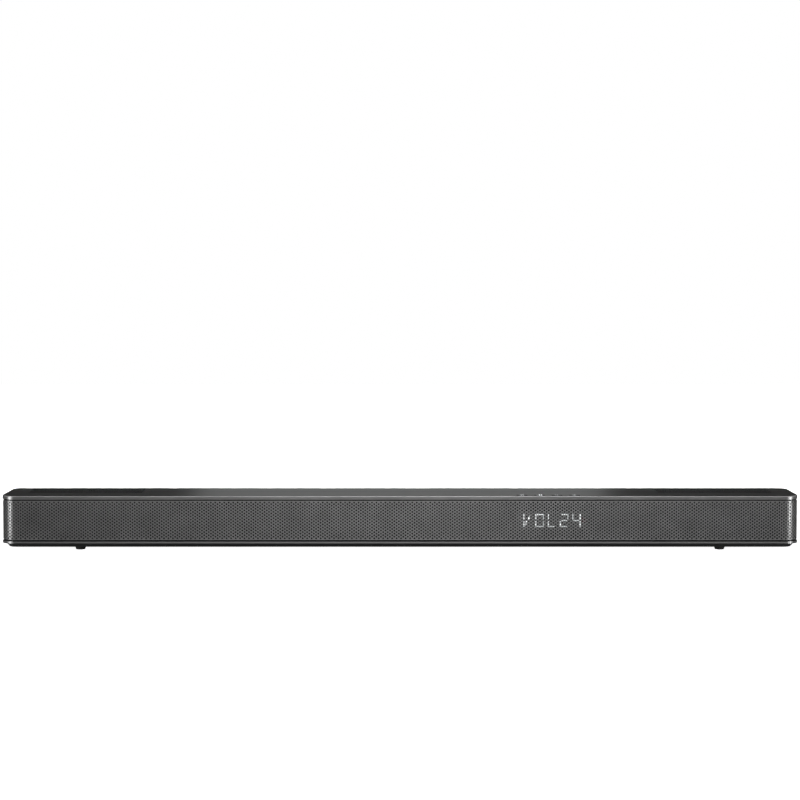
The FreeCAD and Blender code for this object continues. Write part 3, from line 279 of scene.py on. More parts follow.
def top_grille(side):
    """A fine perforated sheet in a pressed frame with softened edges."""
    node = f"{side}_top_grille"
    low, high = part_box(node)
    s_lines = lattice_lines(high.x - low.x - 2 * TOP_SHEET_INSET, TOP_COLUMN_PITCH)
    t_lines = lattice_lines(high.y - low.y - 2 * TOP_SHEET_INSET, TOP_HOLE_PITCH / CELL_STEPS)

    def flat(s, t, depth):
        return (
            low.x + TOP_SHEET_INSET + s, low.y + TOP_SHEET_INSET + t,
            high.z - TOP_FRAME_PROUD - depth,
        )

    sheet = Sheet(flat, high.z - low.z - TOP_FRAME_PROUD)
    perforate(sheet, s_lines, t_lines, TOP_HOLE_RADIUS, 0,
              lambda column: 1 <= column < len(s_lines) - 2)
    mesh = piece(f"{side}_top_mesh", sheet.points(), sheet.faces, "grille_metal",
                 finish="top_grille_metal")
    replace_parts(mesh, node)

    rings = []
    shoulder = high.z - TOP_FRAME_SOFT
    for inset, z in (
        (0, low.z), (0, shoulder), (TOP_FRAME_SOFT, high.z),
        (TOP_FRAME_WIDTH - TOP_FRAME_SOFT, high.z), (TOP_FRAME_WIDTH, shoulder),
        (TOP_FRAME_WIDTH, low.z),
    ):
        shift = Vector((inset, inset, 0))
        radius = TOP_FRAME_CORNER - inset
        rings.append([(x, y, z) for x, y in rounded_rectangle(low + shift, high - shift, radius)])
    points, faces = [], []
    skin_over(rings, True, points, faces)
    made = piece(f"{side}_top_frame", points, faces, "grille_metal", finish="top_grille_metal")
    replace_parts(made, node)


# ---------------------------------------------------------------- turned pieces

TURNED_SIDES = 24
THREAD_PITCH = 0.8 * MM
THREAD_DEPTH = 0.22 * MM
EDGE_SOFT = 0.25 * MM
HEAD_BREAK = 0.6  # of the softened edge: where the head's rounding changes its slope
RECESS_REACH = 0.62  # of the head's radius
RECESS_FLOOR = 0.7  # of its mouth's reach
RECESS_ARM = 0.28  # half the arm's width, of its reach
RECESS_DEPTH = 0.6  # of the head's height
TIP_LENGTH = 2 * THREAD_PITCH
TIP_RADIUS = 0.3  # of the shank's
FOOT_ROUND = 1.2 * MM
FOOT_STEPS = 5
FOOT_HOLLOW = (0.55, 0.5)  # mouth and floor of the hollow underneath, of the pad's radius


def circle(radius):
    """Equal distances from the middle, one for each side."""
    return [radius] * TURNED_SIDES


def cross(reach):
    """Distances from the middle to the outline of a cross."""
    outline = []
    for side in range(TURNED_SIDES):
        angle = 2 * math.pi * side / TURNED_SIDES
        off_arm = abs((angle + math.pi / 4) % (math.pi / 2) - math.pi / 4)
        across = RECESS_ARM * reach / max(math.sin(off_arm), RECESS_ARM)
        outline.append(min(reach / math.cos(off_arm), max(across, RECESS_ARM * reach)))
    return outline


def thread(outer, start, end):
    """A ridged wall between two places, as deep as the thread and never wider than outer."""
    turns = max(1, round(abs(end - start) / THREAD_PITCH))
    step = (end - start) / turns / 2
    return [
        (circle(outer - (i % 2) * THREAD_DEPTH), start + i * step) for i in range(2 * turns + 1)
    ]


def screw_rings(solid):
    """Pan head with a cross recess, and a threaded shank that tapers at its tip."""
    reach = RECESS_REACH * solid["radius"]
    return [
        (cross(RECESS_FLOOR * reach), RECESS_DEPTH * solid["step"]),
        (cross(reach), 0),
        (circle(solid["radius"] - 2 * EDGE_SOFT), 0),
        (circle(solid["radius"] - HEAD_BREAK * EDGE_SOFT), HEAD_BREAK * EDGE_SOFT),
        (circle(solid["radius"]), 2 * EDGE_SOFT),
        (circle(solid["radius"]), solid["step"]),
        *thread(solid["far_radius"], solid["step"], solid["length"] - TIP_LENGTH),
        (circle(TIP_RADIUS * solid["far_radius"]), solid["length"]),
    ]


def foot_rings(solid):
    """Tapered pad, rounded where it meets the table, with a shallow hollow underneath."""
    rings = [(circle(solid["radius"]), 0)]
    for step in range(FOOT_STEPS + 1):
        turn = math.pi / 2 * step / FOOT_STEPS
        rings.append((
            circle(solid["far_radius"] - FOOT_ROUND * (1 - math.cos(turn))),
            solid["length"] - FOOT_ROUND * (1 - math.sin(turn)),
        ))
    for part, lift in zip(FOOT_HOLLOW, (0, EDGE_SOFT)):
        rings.append((circle(part * solid["far_radius"]), solid["length"] - lift))
    return rings


def insert_rings(solid):
    """Flanged sleeve with softened ends and a threaded bore."""
    outer, length = solid["radius"], solid["length"]
    return [
        (circle(outer - EDGE_SOFT), 0),
        (circle(outer), EDGE_SOFT),
        (circle(outer), length - EDGE_SOFT),
        (circle(outer - EDGE_SOFT), length),
        *thread(solid["bore"] + THREAD_DEPTH, length - EDGE_SOFT, EDGE_SOFT),
    ]


def islands(mesh):
    """The separate solids of a mesh, as lists of point numbers."""
    parent = list(range(len(mesh.vertices)))

    def root(i):
        while parent[i] != i:
            parent[i] = parent[parent[i]]
            i = parent[i]
        return i

    places = {}
    for vertex in mesh.vertices:
        key = tuple(round(c, MICRON_DIGITS) for c in vertex.co)
        parent[vertex.index] = root(places.setdefault(key, vertex.index))
    for edge in mesh.edges:
        a, b = (root(i) for i in edge.vertices)
        parent[a] = b
    groups = {}
    for vertex in mesh.vertices:
        groups.setdefault(root(vertex.index), []).append(vertex.index)
    return list(groups.values())


def solid_sizes(spots):
    """How a round solid lies: its wide end, the way to its other end, and its main sizes."""
    low = Vector([min(spot[k] for spot in spots) for k in range(3)])
    high = Vector([max(spot[k] for spot in spots) for k in range(3)])
    size, middle = high - low, (low + high) / 2
    axis = min(range(3), key=lambda k: abs(size[k - 1] - size[k - 2]))

    def reach(spot):
        return math.hypot(spot[axis - 1] - middle[axis - 1], spot[axis - 2] - middle[axis - 2])

    levels = {}
    for spot in spots:
        levels.setdefault(round(spot[axis], MICRON_DIGITS), []).append(reach(spot))
    places = sorted(levels, key=lambda place: place - low[axis])
    if max(levels[places[0]]) < max(levels[places[-1]]):
        places.reverse()
    start, along = middle.copy(), Vector((0, 0, 0))
    start[axis] = places[0]
    along[axis] = math.copysign(1, places[-1] - places[0])
    return {
        "start": start, "along": along, "length": size[axis],
        "radius": max(levels[places[0]]), "far_radius": max(levels[places[-1]]),
        "step": abs(places[1] - places[0]),
        "bore": min(min(found) for found in levels.values()),
    }


def turned(name, node, slot, make_rings, closed=False):
    """One turned piece in the place of each round solid of a node."""
    mesh = nodes[node].data
    points, faces = [], []
    for island in islands(mesh):
        solid = solid_sizes([mesh.vertices[i].co for i in island])
        along = solid["along"]
        right = along.orthogonal().normalized()
        up = along.cross(right)
        rings = []
        for reaches, place in make_rings(solid):
            middle = solid["start"] + along * place
            rings.append([
                middle + reach * (right * math.cos(2 * math.pi * side / TURNED_SIDES)
                                  + up * math.sin(2 * math.pi * side / TURNED_SIDES))
                for side, reach in enumerate(reaches)
            ])
        skin_over(rings, closed, points, faces)
    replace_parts(piece(name, points, faces, slot), node)


# ---------------------------------------------------------------- display and key marks

STROKE_PROUD = 0.14 * MM
STROKE_SINK = 0.5 * MM
STROKE_SOFT = 0.12 * MM


def lit_strokes():
    """Each light guide's front, brought just through the mesh, with softened edges."""
    node = nodes["display_segments"]
    front = min(v.co.y for v in node.data.vertices)
    points, faces = [], []
    for island in islands(node.data):
        spots = [node.data.vertices[i].co for i in island]
        corners = {(round(p.x, MICRON_DIGITS), round(p.z, MICRON_DIGITS)) for p in spots}
        middle = [sum(c[k] for c in corners) / len(corners) for k in (0, 1)]
        corners = sorted(corners, key=lambda c: math.atan2(c[1] - middle[1], c[0] - middle[0]))
        levels = (
            (front + STROKE_SINK, 0),
            (front - STROKE_PROUD + STROKE_SOFT, 0),
            (front - STROKE_PROUD, STROKE_SOFT),
        )
        rings = [
            [
                (x - math.copysign(inset, x - middle[0]), y,
                 z - math.copysign(inset, z - middle[1]))
                for x, z in corners
            ]
            for y, inset in levels
        ]
        skin_over(rings, False, points, faces)
    made = piece("lit_strokes", points, faces, "light_guide")
    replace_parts(made, "display_segments")


ICON_HEIGHT = 0.05 * MM
ICON_LAYER = 0.02  # of the height: how much higher each next stroke of one mark lies
ICON_STROKE = 0.95 * MM
ICON_SIZE = 5.4 * MM
ARC_SEGMENTS = 28
POWER_GAP = math.radians(35)  # each side of the upright

# Parts of half a mark's size.
POWER_BAR_FOOT = 0.2
ARROW_TIP = 0.35
ARROW_BACK = -0.15
ARROW_SPREAD = 0.45
SCREEN_HALF = 0.85
VOLUME_HALF = 0.75


def bar(x0, y0, x1, y1):
    """The outline of a straight stroke between two points."""
    along = Vector((x1 - x0, y1 - y0)).normalized() * ICON_STROKE / 2
    across = Vector((-along.y, along.x))
    start, end = Vector((x0, y0)), Vector((x1, y1))
    return [start - along - across, end + along - across, end + along + across,
            start - along + across]


def arc_band(radius, start, end):
    """The outline of a round stroke between two angles."""
    outer = radius + ICON_STROKE / 2
    inner = radius - ICON_STROKE / 2
    angles = [start + (end - start) * i / ARC_SEGMENTS for i in range(ARC_SEGMENTS + 1)]
    return [Vector((outer * math.cos(a), outer * math.sin(a))) for a in angles] + [
        Vector((inner * math.cos(a), inner * math.sin(a))) for a in reversed(angles)
    ]


def icon_outlines():
    """Generic marks for power, source and volume."""
    half = ICON_SIZE / 2
    top = math.pi / 2

    def stroke(*ends):
        return bar(*(half * end for end in ends))

    return {
        "power_key": [
            arc_band(half - ICON_STROKE / 2, top + POWER_GAP, top + 2 * math.pi - POWER_GAP),
            stroke(0, POWER_BAR_FOOT, 0, 1),
        ],
        "source_key": [
            stroke(-1, 0, ARROW_TIP, 0),
            stroke(ARROW_BACK, ARROW_SPREAD, ARROW_TIP, 0),
            stroke(ARROW_BACK, -ARROW_SPREAD, ARROW_TIP, 0),
            stroke(0, SCREEN_HALF, 1, SCREEN_HALF),
            stroke(1, SCREEN_HALF, 1, -SCREEN_HALF),
            stroke(0, -SCREEN_HALF, 1, -SCREEN_HALF),
        ],
        "volume_down_key": [stroke(-VOLUME_HALF, 0, VOLUME_HALF, 0)],
        "volume_up_key": [
            stroke(-VOLUME_HALF, 0, VOLUME_HALF, 0),
            stroke(0, -VOLUME_HALF, 0, VOLUME_HALF),
        ],
    }


def key_marks():
    """A raised, pale mark on each key, which moves with it; its glow is a painted highlight."""
    for key, outlines in icon_outlines().items():
        low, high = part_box(key)
        x, y = (low.x + high.x) / 2, (low.y + high.y) / 2
        points, faces = [], []
        for layer, outline in enumerate(outlines):
            lift = ICON_HEIGHT * (1 + ICON_LAYER * layer)
            rings = [
                [(x + p.x, y + p.y, z) for p in outline]
                for z in (high.z - ICON_HEIGHT, high.z + lift)
            ]
            skin_over(rings, False, points, faces)
        piece(f"{key}_mark", points, faces, "light_guide", key, "key_mark")


# ---------------------------------------------------------------- materials


RAMP_START = 0.3  # the darkest shade's place on a colour ramp
RAMP_LENGTH = 0.4
WAVE_TURNS = 20  # radians that a wave texture turns through in one unit, at a scale of 1


class Finish:
    """A Principled material with textures laid out in the frame's own metres."""

    def __init__(self, name, **settings):
        self.material = bpy.data.materials.new(name)
        self.material.use_nodes = True
        self.tree = self.material.node_tree
        self.shader = self.tree.nodes["Principled BSDF"]
        for key, value in settings.items():
            self.shader.inputs[key.replace("_", " ")].default_value = value
        self.space = self.tree.nodes.new("ShaderNodeTexCoord").outputs["Object"]

    def node(self, kind, **inputs):
        """A new node, with each input linked to a socket or set to a value."""
        made = self.tree.nodes.new(kind)
        for key, value in inputs.items():
            socket = made.inputs[key.replace("_", " ")]
            if isinstance(value, bpy.types.NodeSocket):
                self.tree.links.new(value, socket)
            else:
                socket.default_value = value
        return made

    def stretched(self, *factors):
        """The coordinates with each axis scaled by its factor."""
        return self.node("ShaderNodeMapping", Vector=self.space, Scale=factors).outputs[0]

    def noise(self, size, detail=3.0, space=None):
        """Noise whose grains are about this many metres across."""
        made = self.node(
            "ShaderNodeTexNoise", Vector=space or self.space, Scale=1 / size, Detail=detail
        )
        return made.outputs["Fac"]

    def cells(self, size):
        """The distance from the middles of cells about this many metres across."""
        made = self.node("ShaderNodeTexVoronoi", Vector=self.space, Scale=1 / size)
        return made.outputs["Distance"]

    def wave(self, size, direction):
        """Even waves that repeat after this many metres along one axis."""
        scale = 2 * math.pi / (WAVE_TURNS * size)
        made = self.node("ShaderNodeTexWave", Vector=self.space, Scale=scale, Distortion=0.0)
        made.bands_direction = direction
        return made.outputs["Fac"]

    def height(self):
        """The height above the table."""
        return self.node("ShaderNodeSeparateXYZ", Vector=self.space).outputs["Z"]

    def spread(self, value, low, high, start=0.0, end=1.0):
        """The value moved from the range start to end, into the range low to high."""
        made = self.node(
            "ShaderNodeMapRange", Value=value, From_Min=start, From_Max=end,
            To_Min=low, To_Max=high,
        )
        return made.outputs[0]

    def combine(self, operation, first, second):
        """The result of a Math node on two sockets or numbers."""
        made = self.tree.nodes.new("ShaderNodeMath")
        made.operation = operation
        for socket, value in zip(made.inputs, (first, second)):
            if isinstance(value, bpy.types.NodeSocket):
                self.tree.links.new(value, socket)
            else:
                socket.default_value = value
        return made.outputs[0]

    def blend(self, first, second, share):
        """Two patterns added up, the first of which makes up this share of the whole."""
        return self.combine(
            "ADD", self.spread(first, 0, share), self.spread(second, 0, 1 - share)
        )

    def band(self, level, rise, fall):
        """A line by height: up to the level between two heights, down again between two more."""
        height = self.height()
        return self.combine(
            "MULTIPLY", self.spread(height, 0, level, *rise), self.spread(height, 1, 0, *fall)
        )

    def colour(self, value, *shades, socket="Base Color"):
        """Shades from dark to light, spread evenly over the value."""
        made = self.node("ShaderNodeValToRGB", Fac=value)
        ramp = made.color_ramp
        while len(ramp.elements) < len(shades):
            ramp.elements.new(0.5)
        for index, shade in enumerate(shades):
            place = RAMP_START + RAMP_LENGTH * index / (len(shades) - 1)
            ramp.elements[index].position = place
            ramp.elements[index].color = (*shade, 1)
        self.tree.links.new(made.outputs[0], self.shader.inputs[socket])

    def roughness(self, value, low, high):
        """Roughness that follows the value."""
        self.tree.links.new(self.spread(value, low, high), self.shader.inputs["Roughness"])

    def relief(self, height, depth):
        """Bumps that follow a pattern, this many metres deep."""
        made = self.node("ShaderNodeBump", Height=height, Distance=depth, Strength=1.0)
        self.tree.links.new(made.outputs[0], self.shader.inputs["Normal"])


def grey(level, warmth=0.0):
    """A grey, or a brownish one where it is given some warmth."""
    return (level * (1 + warmth), level, level * (1 - warmth))


SATIN_ROUGHNESS = (0.26, 0.36)
RIM_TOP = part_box("rear_panel")[0].z
RIM_HIGHLIGHT_BAND = 1 * MM  # the painted highlight line lies between 2 and 0.6 of these under the rim's top
RIM_HIGHLIGHT_LIFT = 0.44  # how far up the ramp the painted highlight line lies
COVER_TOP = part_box("top_cover")[1].z
EDGE_HIGHLIGHT_BAND = 1.1 * MM  # of the painted highlight along the cover's top edge, down from the cover's top
# painted highlight on the cover's edge and painted sheen on its lip: how far up the ramp each is
# lifted
EDGE_HIGHLIGHT_LIFT = 0.4
LIP_SHEEN_LIFT = 0.1


def satin_shade(finish, fine, size):
    """The fine pattern and slow changes, kept within the ramp's first two shades."""
    slow = finish.noise(size, 2)
    return finish.combine("ADD", finish.spread(fine, 0, 0.24), finish.spread(slow, 0.19, 0.35))


def shell_plastic():
    """Black shell with a spark-eroded grain, and a painted highlight along a line round its rim."""
    finish = Finish("shell_plastic", Specular_IOR_Level=0.9)
    fine = finish.noise(0.4 * MM)
    shade = satin_shade(finish, fine, 40 * MM)
    # painted highlight: a paler line round the rim, where its chamfered edge would catch the light
    line = finish.band(
        RIM_HIGHLIGHT_LIFT, (RIM_TOP - 2 * RIM_HIGHLIGHT_BAND, RIM_TOP - 1.6 * RIM_HIGHLIGHT_BAND),
        (RIM_TOP - RIM_HIGHLIGHT_BAND, RIM_TOP - 0.6 * RIM_HIGHLIGHT_BAND),
    )
    finish.colour(
        finish.combine("ADD", shade, line), grey(0.014), grey(0.022), grey(0.05), grey(0.088)
    )
    finish.roughness(finish.noise(9 * MM), *SATIN_ROUGHNESS)
    finish.relief(fine, 0.012 * MM)
    return finish.material


def cover_plastic():
    """Satin black cover: a hairline grain along its length, a painted highlight round its top edge,
    and a painted sheen that makes the lip paler.
    """
    finish = Finish("cover_plastic", Specular_IOR_Level=0.55, Coat_Weight=0.12, Coat_Roughness=0.28)
    hair = finish.noise(0.35 * MM, 4, finish.stretched(0.03, 1, 1))
    shade = satin_shade(finish, hair, 60 * MM)
    # painted highlight: a paler band just under the cover's top, where the rounded edge would catch
    # the light
    edge = finish.band(
        EDGE_HIGHLIGHT_LIFT, (COVER_TOP - EDGE_HIGHLIGHT_BAND, COVER_TOP - 0.7 * EDGE_HIGHLIGHT_BAND),
        (COVER_TOP - 0.3 * EDGE_HIGHLIGHT_BAND, COVER_TOP),
    )
    # painted sheen: the lip below the edge is lifted paler, for the light its sloped front face
    # catches
    lip = finish.spread(
        finish.height(), LIP_SHEEN_LIFT, 0, COVER_TOP - 1.5 * EDGE_HIGHLIGHT_BAND, COVER_TOP - EDGE_HIGHLIGHT_BAND
    )
    lift = finish.combine("ADD", edge, lip)
    finish.colour(
        finish.combine("ADD", shade, lift), grey(0.026), grey(0.036), grey(0.1), grey(0.28)
    )
    finish.roughness(hair, *SATIN_ROUGHNESS)
    finish.relief(hair, 0.01 * MM)
    return finish.material


def moulded(name, dark, light, grain, roughness, specular=0.5):
    """Moulded plastic: a fine spark-eroded grain with slow changes of shade."""
    finish = Finish(name, Specular_IOR_Level=specular)
    fine = finish.noise(grain)
    finish.colour(finish.blend(fine, finish.noise(40 * MM, 2), 0.3), dark, light)
    finish.roughness(finish.noise(9 * MM), *roughness)
    finish.relief(fine, 0.012 * MM)
    return finish.material


def grille_metal(name, dark, light):
    """Powder-coated steel: a slight orange peel over a metallic dark grey."""
    finish = Finish(name, Metallic=0.2, Specular_IOR_Level=0.5)
    peel = finish.noise(0.5 * MM, 2)
    finish.colour(finish.blend(peel, finish.noise(25 * MM, 2), 0.4), dark, light)
    finish.roughness(peel, 0.26, 0.38)
    finish.relief(peel, 0.01 * MM)
    return finish.material


def woven(name, dark, light, pitch):
    """Plain weave: warp and weft threads that pass over each other in turn."""
    finish = Finish(name, Specular_IOR_Level=0.2, Sheen_Weight=0.15)
    cloth = finish.combine("MULTIPLY", finish.wave(pitch, "X"), finish.wave(pitch, "Z"))
    fuzz = finish.noise(0.2 * MM, 4)
    finish.colour(finish.blend(cloth, fuzz, 0.7), dark, light)
    finish.roughness(fuzz, 0.8, 0.95)
    finish.relief(cloth, 0.12 * MM)
    return finish.material


def light_guide(name, strength):
    """Lit diffusing plastic, uneven along each stroke, with a painted shadow of the mesh's lattice
    over it.
    """
    finish = Finish(name, Roughness=0.35, Emission_Strength=strength)
    glow = finish.noise(1.6 * MM, 2)
    # painted shadow: the front grille's lattice darkens the colour and the glow
    lattice = finish.combine(
        "MULTIPLY", finish.wave(GRILLE_COLUMN_PITCH, "X"), finish.wave(GRILLE_HOLE_PITCH, "Z")
    )
    level = finish.blend(glow, lattice, 0.3)
    finish.colour(level, (0.2, 0.21, 0.21), (0.8, 0.82, 0.83))
    finish.colour(level, (0.12, 0.13, 0.13), (0.95, 0.98, 1.0), socket="Emission Color")
    finish.relief(glow, 0.02 * MM)
    return finish.material


def metal(name, dark, light, grain, roughness, stretch=(1, 1, 1)):
    """Machined or plated metal with fine tool marks."""
    finish = Finish(name, Metallic=1.0)
    marks = finish.noise(grain, 4, finish.stretched(*stretch))
    stain = finish.noise(4 * MM, 3)
    finish.colour(finish.blend(marks, stain, 0.5), dark, light)
    finish.roughness(stain, *roughness)
    finish.relief(marks, 0.01 * MM)
    return finish.material


def circuit_board(name, dark, light):
    """Solder mask over copper tracks and pads, with the weave of the board just showing."""
    finish = Finish(name, Specular_IOR_Level=0.5, Coat_Weight=0.4, Coat_Roughness=0.15)
    tracks = finish.node("ShaderNodeTexBrick", Vector=finish.space, Scale=160.0)
    bare = finish.combine("GREATER_THAN", finish.cells(2.4 * MM), 0.55)
    weave = finish.noise(0.4 * MM, 2)
    shade = finish.combine(
        "ADD", finish.spread(tracks.outputs["Fac"], 0.1, 0.35),
        finish.combine("MULTIPLY", bare, finish.spread(weave, 0.2, 0.6)),
    )
    finish.colour(shade, dark, light)
    finish.roughness(weave, 0.3, 0.5)
    finish.relief(shade, 0.03 * MM)
    return finish.material


def cone_fibre():
    """Pressed paper pulp: short fibres with a faint mottle."""
    finish = Finish("cone_fibre", Specular_IOR_Level=0.25, Sheen_Weight=0.1)
    fibres = finish.noise(0.25 * MM, 5, finish.stretched(0.25, 1, 1))
    mottle = finish.noise(3 * MM, 3)
    finish.colour(finish.blend(fibres, mottle, 0.6), grey(0.012), grey(0.05, 0.05))
    finish.roughness(fibres, 0.65, 0.85)
    finish.relief(fibres, 0.05 * MM)
    return finish.material


def coil_copper():
    """Enamelled wire, wound in fine turns along both axes that the coils stand on."""
    finish = Finish("coil_copper", Metallic=1.0, Coat_Weight=0.6, Coat_Roughness=0.2)
    turns = finish.combine("MAXIMUM", finish.wave(0.2 * MM, "Y"), finish.wave(0.2 * MM, "Z"))
    stain = finish.noise(2 * MM)
    finish.colour(finish.blend(turns, stain, 0.6), (0.35, 0.12, 0.05), (0.75, 0.34, 0.16))
    finish.roughness(stain, 0.25, 0.4)
    finish.relief(turns, 0.06 * MM)
    return finish.material


def transformer_iron():
    """Stacked laminations, a little rusty."""
    finish = Finish("transformer_iron", Metallic=0.6, Specular_IOR_Level=0.5)
    stack = finish.wave(0.5 * MM, "Y")
    rust = finish.noise(3 * MM, 4)
    finish.colour(finish.blend(stack, rust, 0.5), (0.06, 0.055, 0.05), (0.2, 0.18, 0.15))
    finish.roughness(rust, 0.4, 0.65)
    finish.relief(stack, 0.05 * MM)
    return finish.material


# Name: darkest shade, lightest shade, grain, roughness and, where it isn't 0.5, specular level.
MOULDED = {
    "baffle_black": (grey(0.003), grey(0.006), 0.4 * MM, (0.7, 0.85), 0.15),
    "receiver_lens": ((0.02, 0.004, 0.005), (0.035, 0.008, 0.01), 1 * MM, (0.06, 0.14), 0.6),
    "key_plastic": (grey(0.02), grey(0.032), 0.25 * MM, (0.34, 0.46)),
    "socket_plastic": (grey(0.012), grey(0.022), 0.3 * MM, (0.35, 0.5)),
    "foot_rubber": (grey(0.008), grey(0.02), 0.5 * MM, (0.7, 0.88), 0.3),
    "magnet_ferrite": (grey(0.03), grey(0.07), 0.3 * MM, (0.5, 0.7), 0.4),
    "surround_rubber": (grey(0.01), grey(0.02), 0.3 * MM, (0.45, 0.6)),
}

# Name: darkest shade, lightest shade, grain, roughness and, for drawn metal, the grain's stretch.
METALS = {
    "socket_metal": (grey(0.42), grey(0.62), 0.3 * MM, (0.2, 0.34), (1, 0.1, 1)),
    "heat_sink_aluminium": (grey(0.5), grey(0.68), 0.25 * MM, (0.3, 0.45), (1, 1, 0.05)),
    "screw_steel": (grey(0.05), grey(0.12), 0.15 * MM, (0.28, 0.42)),
    "insert_brass": ((0.5, 0.34, 0.14), (0.75, 0.55, 0.26), 0.2 * MM, (0.22, 0.36)),
    "basket_steel": (grey(0.12), grey(0.2), 0.4 * MM, (0.35, 0.5)),
}

FINISHES = {
    "cover_plastic": cover_plastic(),
    "shell_plastic": shell_plastic(),
    "grille_metal": grille_metal("grille_metal", grey(0.083), grey(0.12)),
    "top_grille_metal": grille_metal("top_grille_metal", grey(0.024), grey(0.04)),
    "acoustic_cloth": woven("acoustic_cloth", grey(0.002), grey(0.007), pitch=0.4 * MM),
    "light_guide": light_guide("light_guide", strength=0.2),
    # the key marks are pale print; their glow is a painted highlight, for the light that the raised
    # keys catch
    "key_mark": light_guide("key_mark", strength=4.5),
    "circuit_board": circuit_board("circuit_board", (0.008, 0.03, 0.014), (0.02, 0.075, 0.03)),
    "black_board": circuit_board("black_board", grey(0.002), grey(0.006)),
    "transformer_iron": transformer_iron(),
    "cone_fibre": cone_fibre(),
    "coil_copper": coil_copper(),
    **{name: moulded(name, *settings) for name, settings in MOULDED.items()},
    **{name: metal(name, *settings) for name, settings in METALS.items()},
}

# Nodes behind the perforated sheet, kept black so that nothing pale shows through its holes.
NODE_FINISHES = {"front_baffle": "baffle_black", "display_board": "black_board"}


def dress_nodes():
    """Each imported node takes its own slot's finish, or the one named for it."""
    for name, node in nodes.items():
        for place in node.material_slots:
            finish = NODE_FINISHES.get(name, place.material.name.split(".")[0])
            place.material = FINISHES[finish]


# ---------------------------------------------------------------- studio

# Camera: metres from the object's nearest and highest places, and millimetres of lens.
FRONT_DISTANCE = 2.75
EYE_ABOVE_TOP = 0.28
TILT = math.radians(3.33)
LENS = 99.45
SENSOR = 36

WORLD_LEVEL = 0.046
FLOOR_SIZE = 8.0
FLOOR_GLOW = 0.95
SUN_LEVEL = 0.4
SUN_SPREAD = math.radians(60)

# The readout is right of the middle, and so is the brightest part of the front.
FRONT_CENTRE = 0.04
BACK_PANEL_WIDTHS = (0.46, 0.57, 0.69, 0.82)  # laid over each other, so that their edges fade


def camera():
    """From straight ahead and a little above, as in the photograph."""
    data = bpy.data.cameras.new("camera")
    data.lens = LENS
    data.sensor_width = SENSOR
    made = bpy.data.objects.new("camera", data)
    made.location = (0, cad_low.y - FRONT_DISTANCE, cad_high.z + EYE_ABOVE_TOP)
    made.rotation_euler = (math.pi / 2 - TILT, 0, 0)
    bpy.context.scene.collection.objects.link(made)
    bpy.context.scene.camera = made


def soft_light(name, place, target, width, height, level, mirrored=True):
    """A rectangular light whose face is this bright, unseen by the camera."""
    data = bpy.data.lights.new(name, "AREA")
    data.shape = "RECTANGLE"
    data.size, data.size_y = width, height
    data.energy = level * math.pi * width * height
    made = bpy.data.objects.new(name, data)
    made.location = place
    made.rotation_euler = (Vector(target) - Vector(place)).to_track_quat("-Z", "Y").to_euler()
    made.visible_camera = False
    made.visible_glossy = mirrored
    bpy.context.scene.collection.objects.link(made)


def overhead():
    """A wide soft sun straight above."""
    data = bpy.data.lights.new("overhead", "SUN")
    data.energy = SUN_LEVEL
    data.angle = SUN_SPREAD
    bpy.context.scene.collection.objects.link(bpy.data.objects.new("overhead", data))


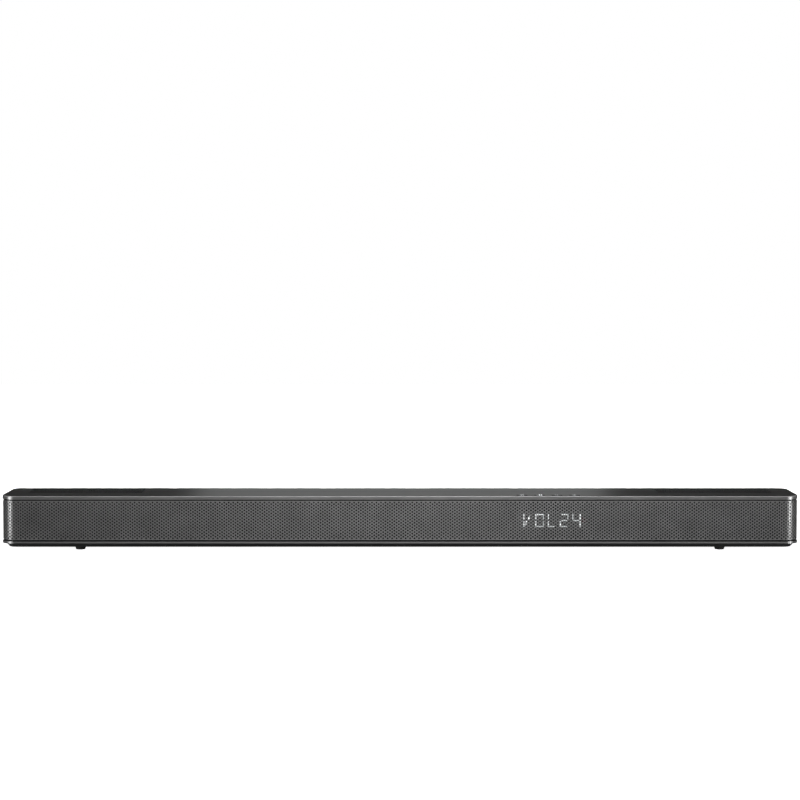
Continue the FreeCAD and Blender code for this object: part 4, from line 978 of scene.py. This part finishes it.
def lights():
    """Panels in front, behind and at the ends, some of which the gloss doesn't show."""
    middle = (cad_low + cad_high) / 2
    front = Vector((FRONT_CENTRE, cad_low.y, middle.z))
    rear = Vector((0, cad_high.y, middle.z))
    soft_light(
        "key", front + Vector((0, -0.5, 0.22)), front,
        width=0.4, height=0.16, level=27.0, mirrored=False,
    )
    soft_light(
        "front_low", (FRONT_CENTRE, cad_low.y - 0.5, 0.03), front,
        width=1.1, height=0.055, level=3.0,
    )
    soft_light(
        "right_fill", front + Vector((0.8, -0.6, 0)), (0.45, cad_low.y, middle.z),
        width=0.3, height=0.06, level=6.0, mirrored=False,
    )
    for width in BACK_PANEL_WIDTHS:
        soft_light(
            f"back_panel_{width}", (0, 1.6, 0.27), (0, 0, 0.07),
            width=width, height=0.26, level=0.5,
        )
    for name, side, end in (("side_left", -1, cad_low.x), ("side_right", 1, cad_high.x)):
        soft_light(
            name, (end + side * 0.3, cad_low.y - 0.19, 0.02), (end, cad_low.y, 0.03),
            width=0.13, height=0.08, level=38.0,
        )
    overhead()
    soft_light(
        "rear_low", rear + Vector((0, 1.2, 0.06)), rear,
        width=1.8, height=0.12, level=60.0, mirrored=False,
    )
    soft_light(
        "rear_fill", (0.2, 2.2, 1.4), (0, 0, middle.z),
        width=1.6, height=1.0, level=2.0, mirrored=False,
    )


def world():
    """White to the camera, dim grey to everything else."""
    made = bpy.data.worlds.new("studio")
    made.use_nodes = True
    tree = made.node_tree
    background = tree.nodes["Background"]
    path = tree.nodes.new("ShaderNodeLightPath")
    level = tree.nodes.new("ShaderNodeMapRange")
    level.inputs["To Min"].default_value = WORLD_LEVEL
    level.inputs["To Max"].default_value = 1.0
    tree.links.new(path.outputs["Is Camera Ray"], level.inputs["Value"])
    tree.links.new(level.outputs[0], background.inputs["Strength"])
    background.inputs["Color"].default_value = (*grey(1), 1)
    bpy.context.scene.world = made


def floor():
    """A plain pale floor that shows a soft shadow and doesn't light the object."""
    half = FLOOR_SIZE / 2
    mesh = bpy.data.meshes.new("floor")
    mesh.from_pydata([(-half, -half, 0), (half, -half, 0), (half, half, 0), (-half, half, 0)],
                     [], [(0, 1, 2, 3)])
    made = bpy.data.objects.new("floor", mesh)
    bpy.context.scene.collection.objects.link(made)
    finish = Finish(
        "floor", Roughness=0.9, Specular_IOR_Level=0.0,
        Emission_Color=(*grey(1), 1), Emission_Strength=FLOOR_GLOW,
    )
    finish.colour(finish.noise(0.4, 2), grey(0.78), grey(0.82))
    mesh.materials.append(finish.material)
    made.visible_diffuse = False
    made.visible_glossy = False
    made.visible_shadow = False


dress_nodes()
front_grille()
top_grille("left")
top_grille("right")
lit_strokes()
key_marks()
for screws in ("case_screws", "driver_screws", "board_screws"):
    turned(f"{screws}_threaded", screws, "screw_steel", screw_rings)
turned("feet", "rubber_feet", "foot_rubber", foot_rings)
turned("threaded_inserts", "wall_mount_inserts", "insert_brass", insert_rings, closed=True)
world()
floor()
lights()
camera()
bpy.context.scene.view_settings.view_transform = "Standard"
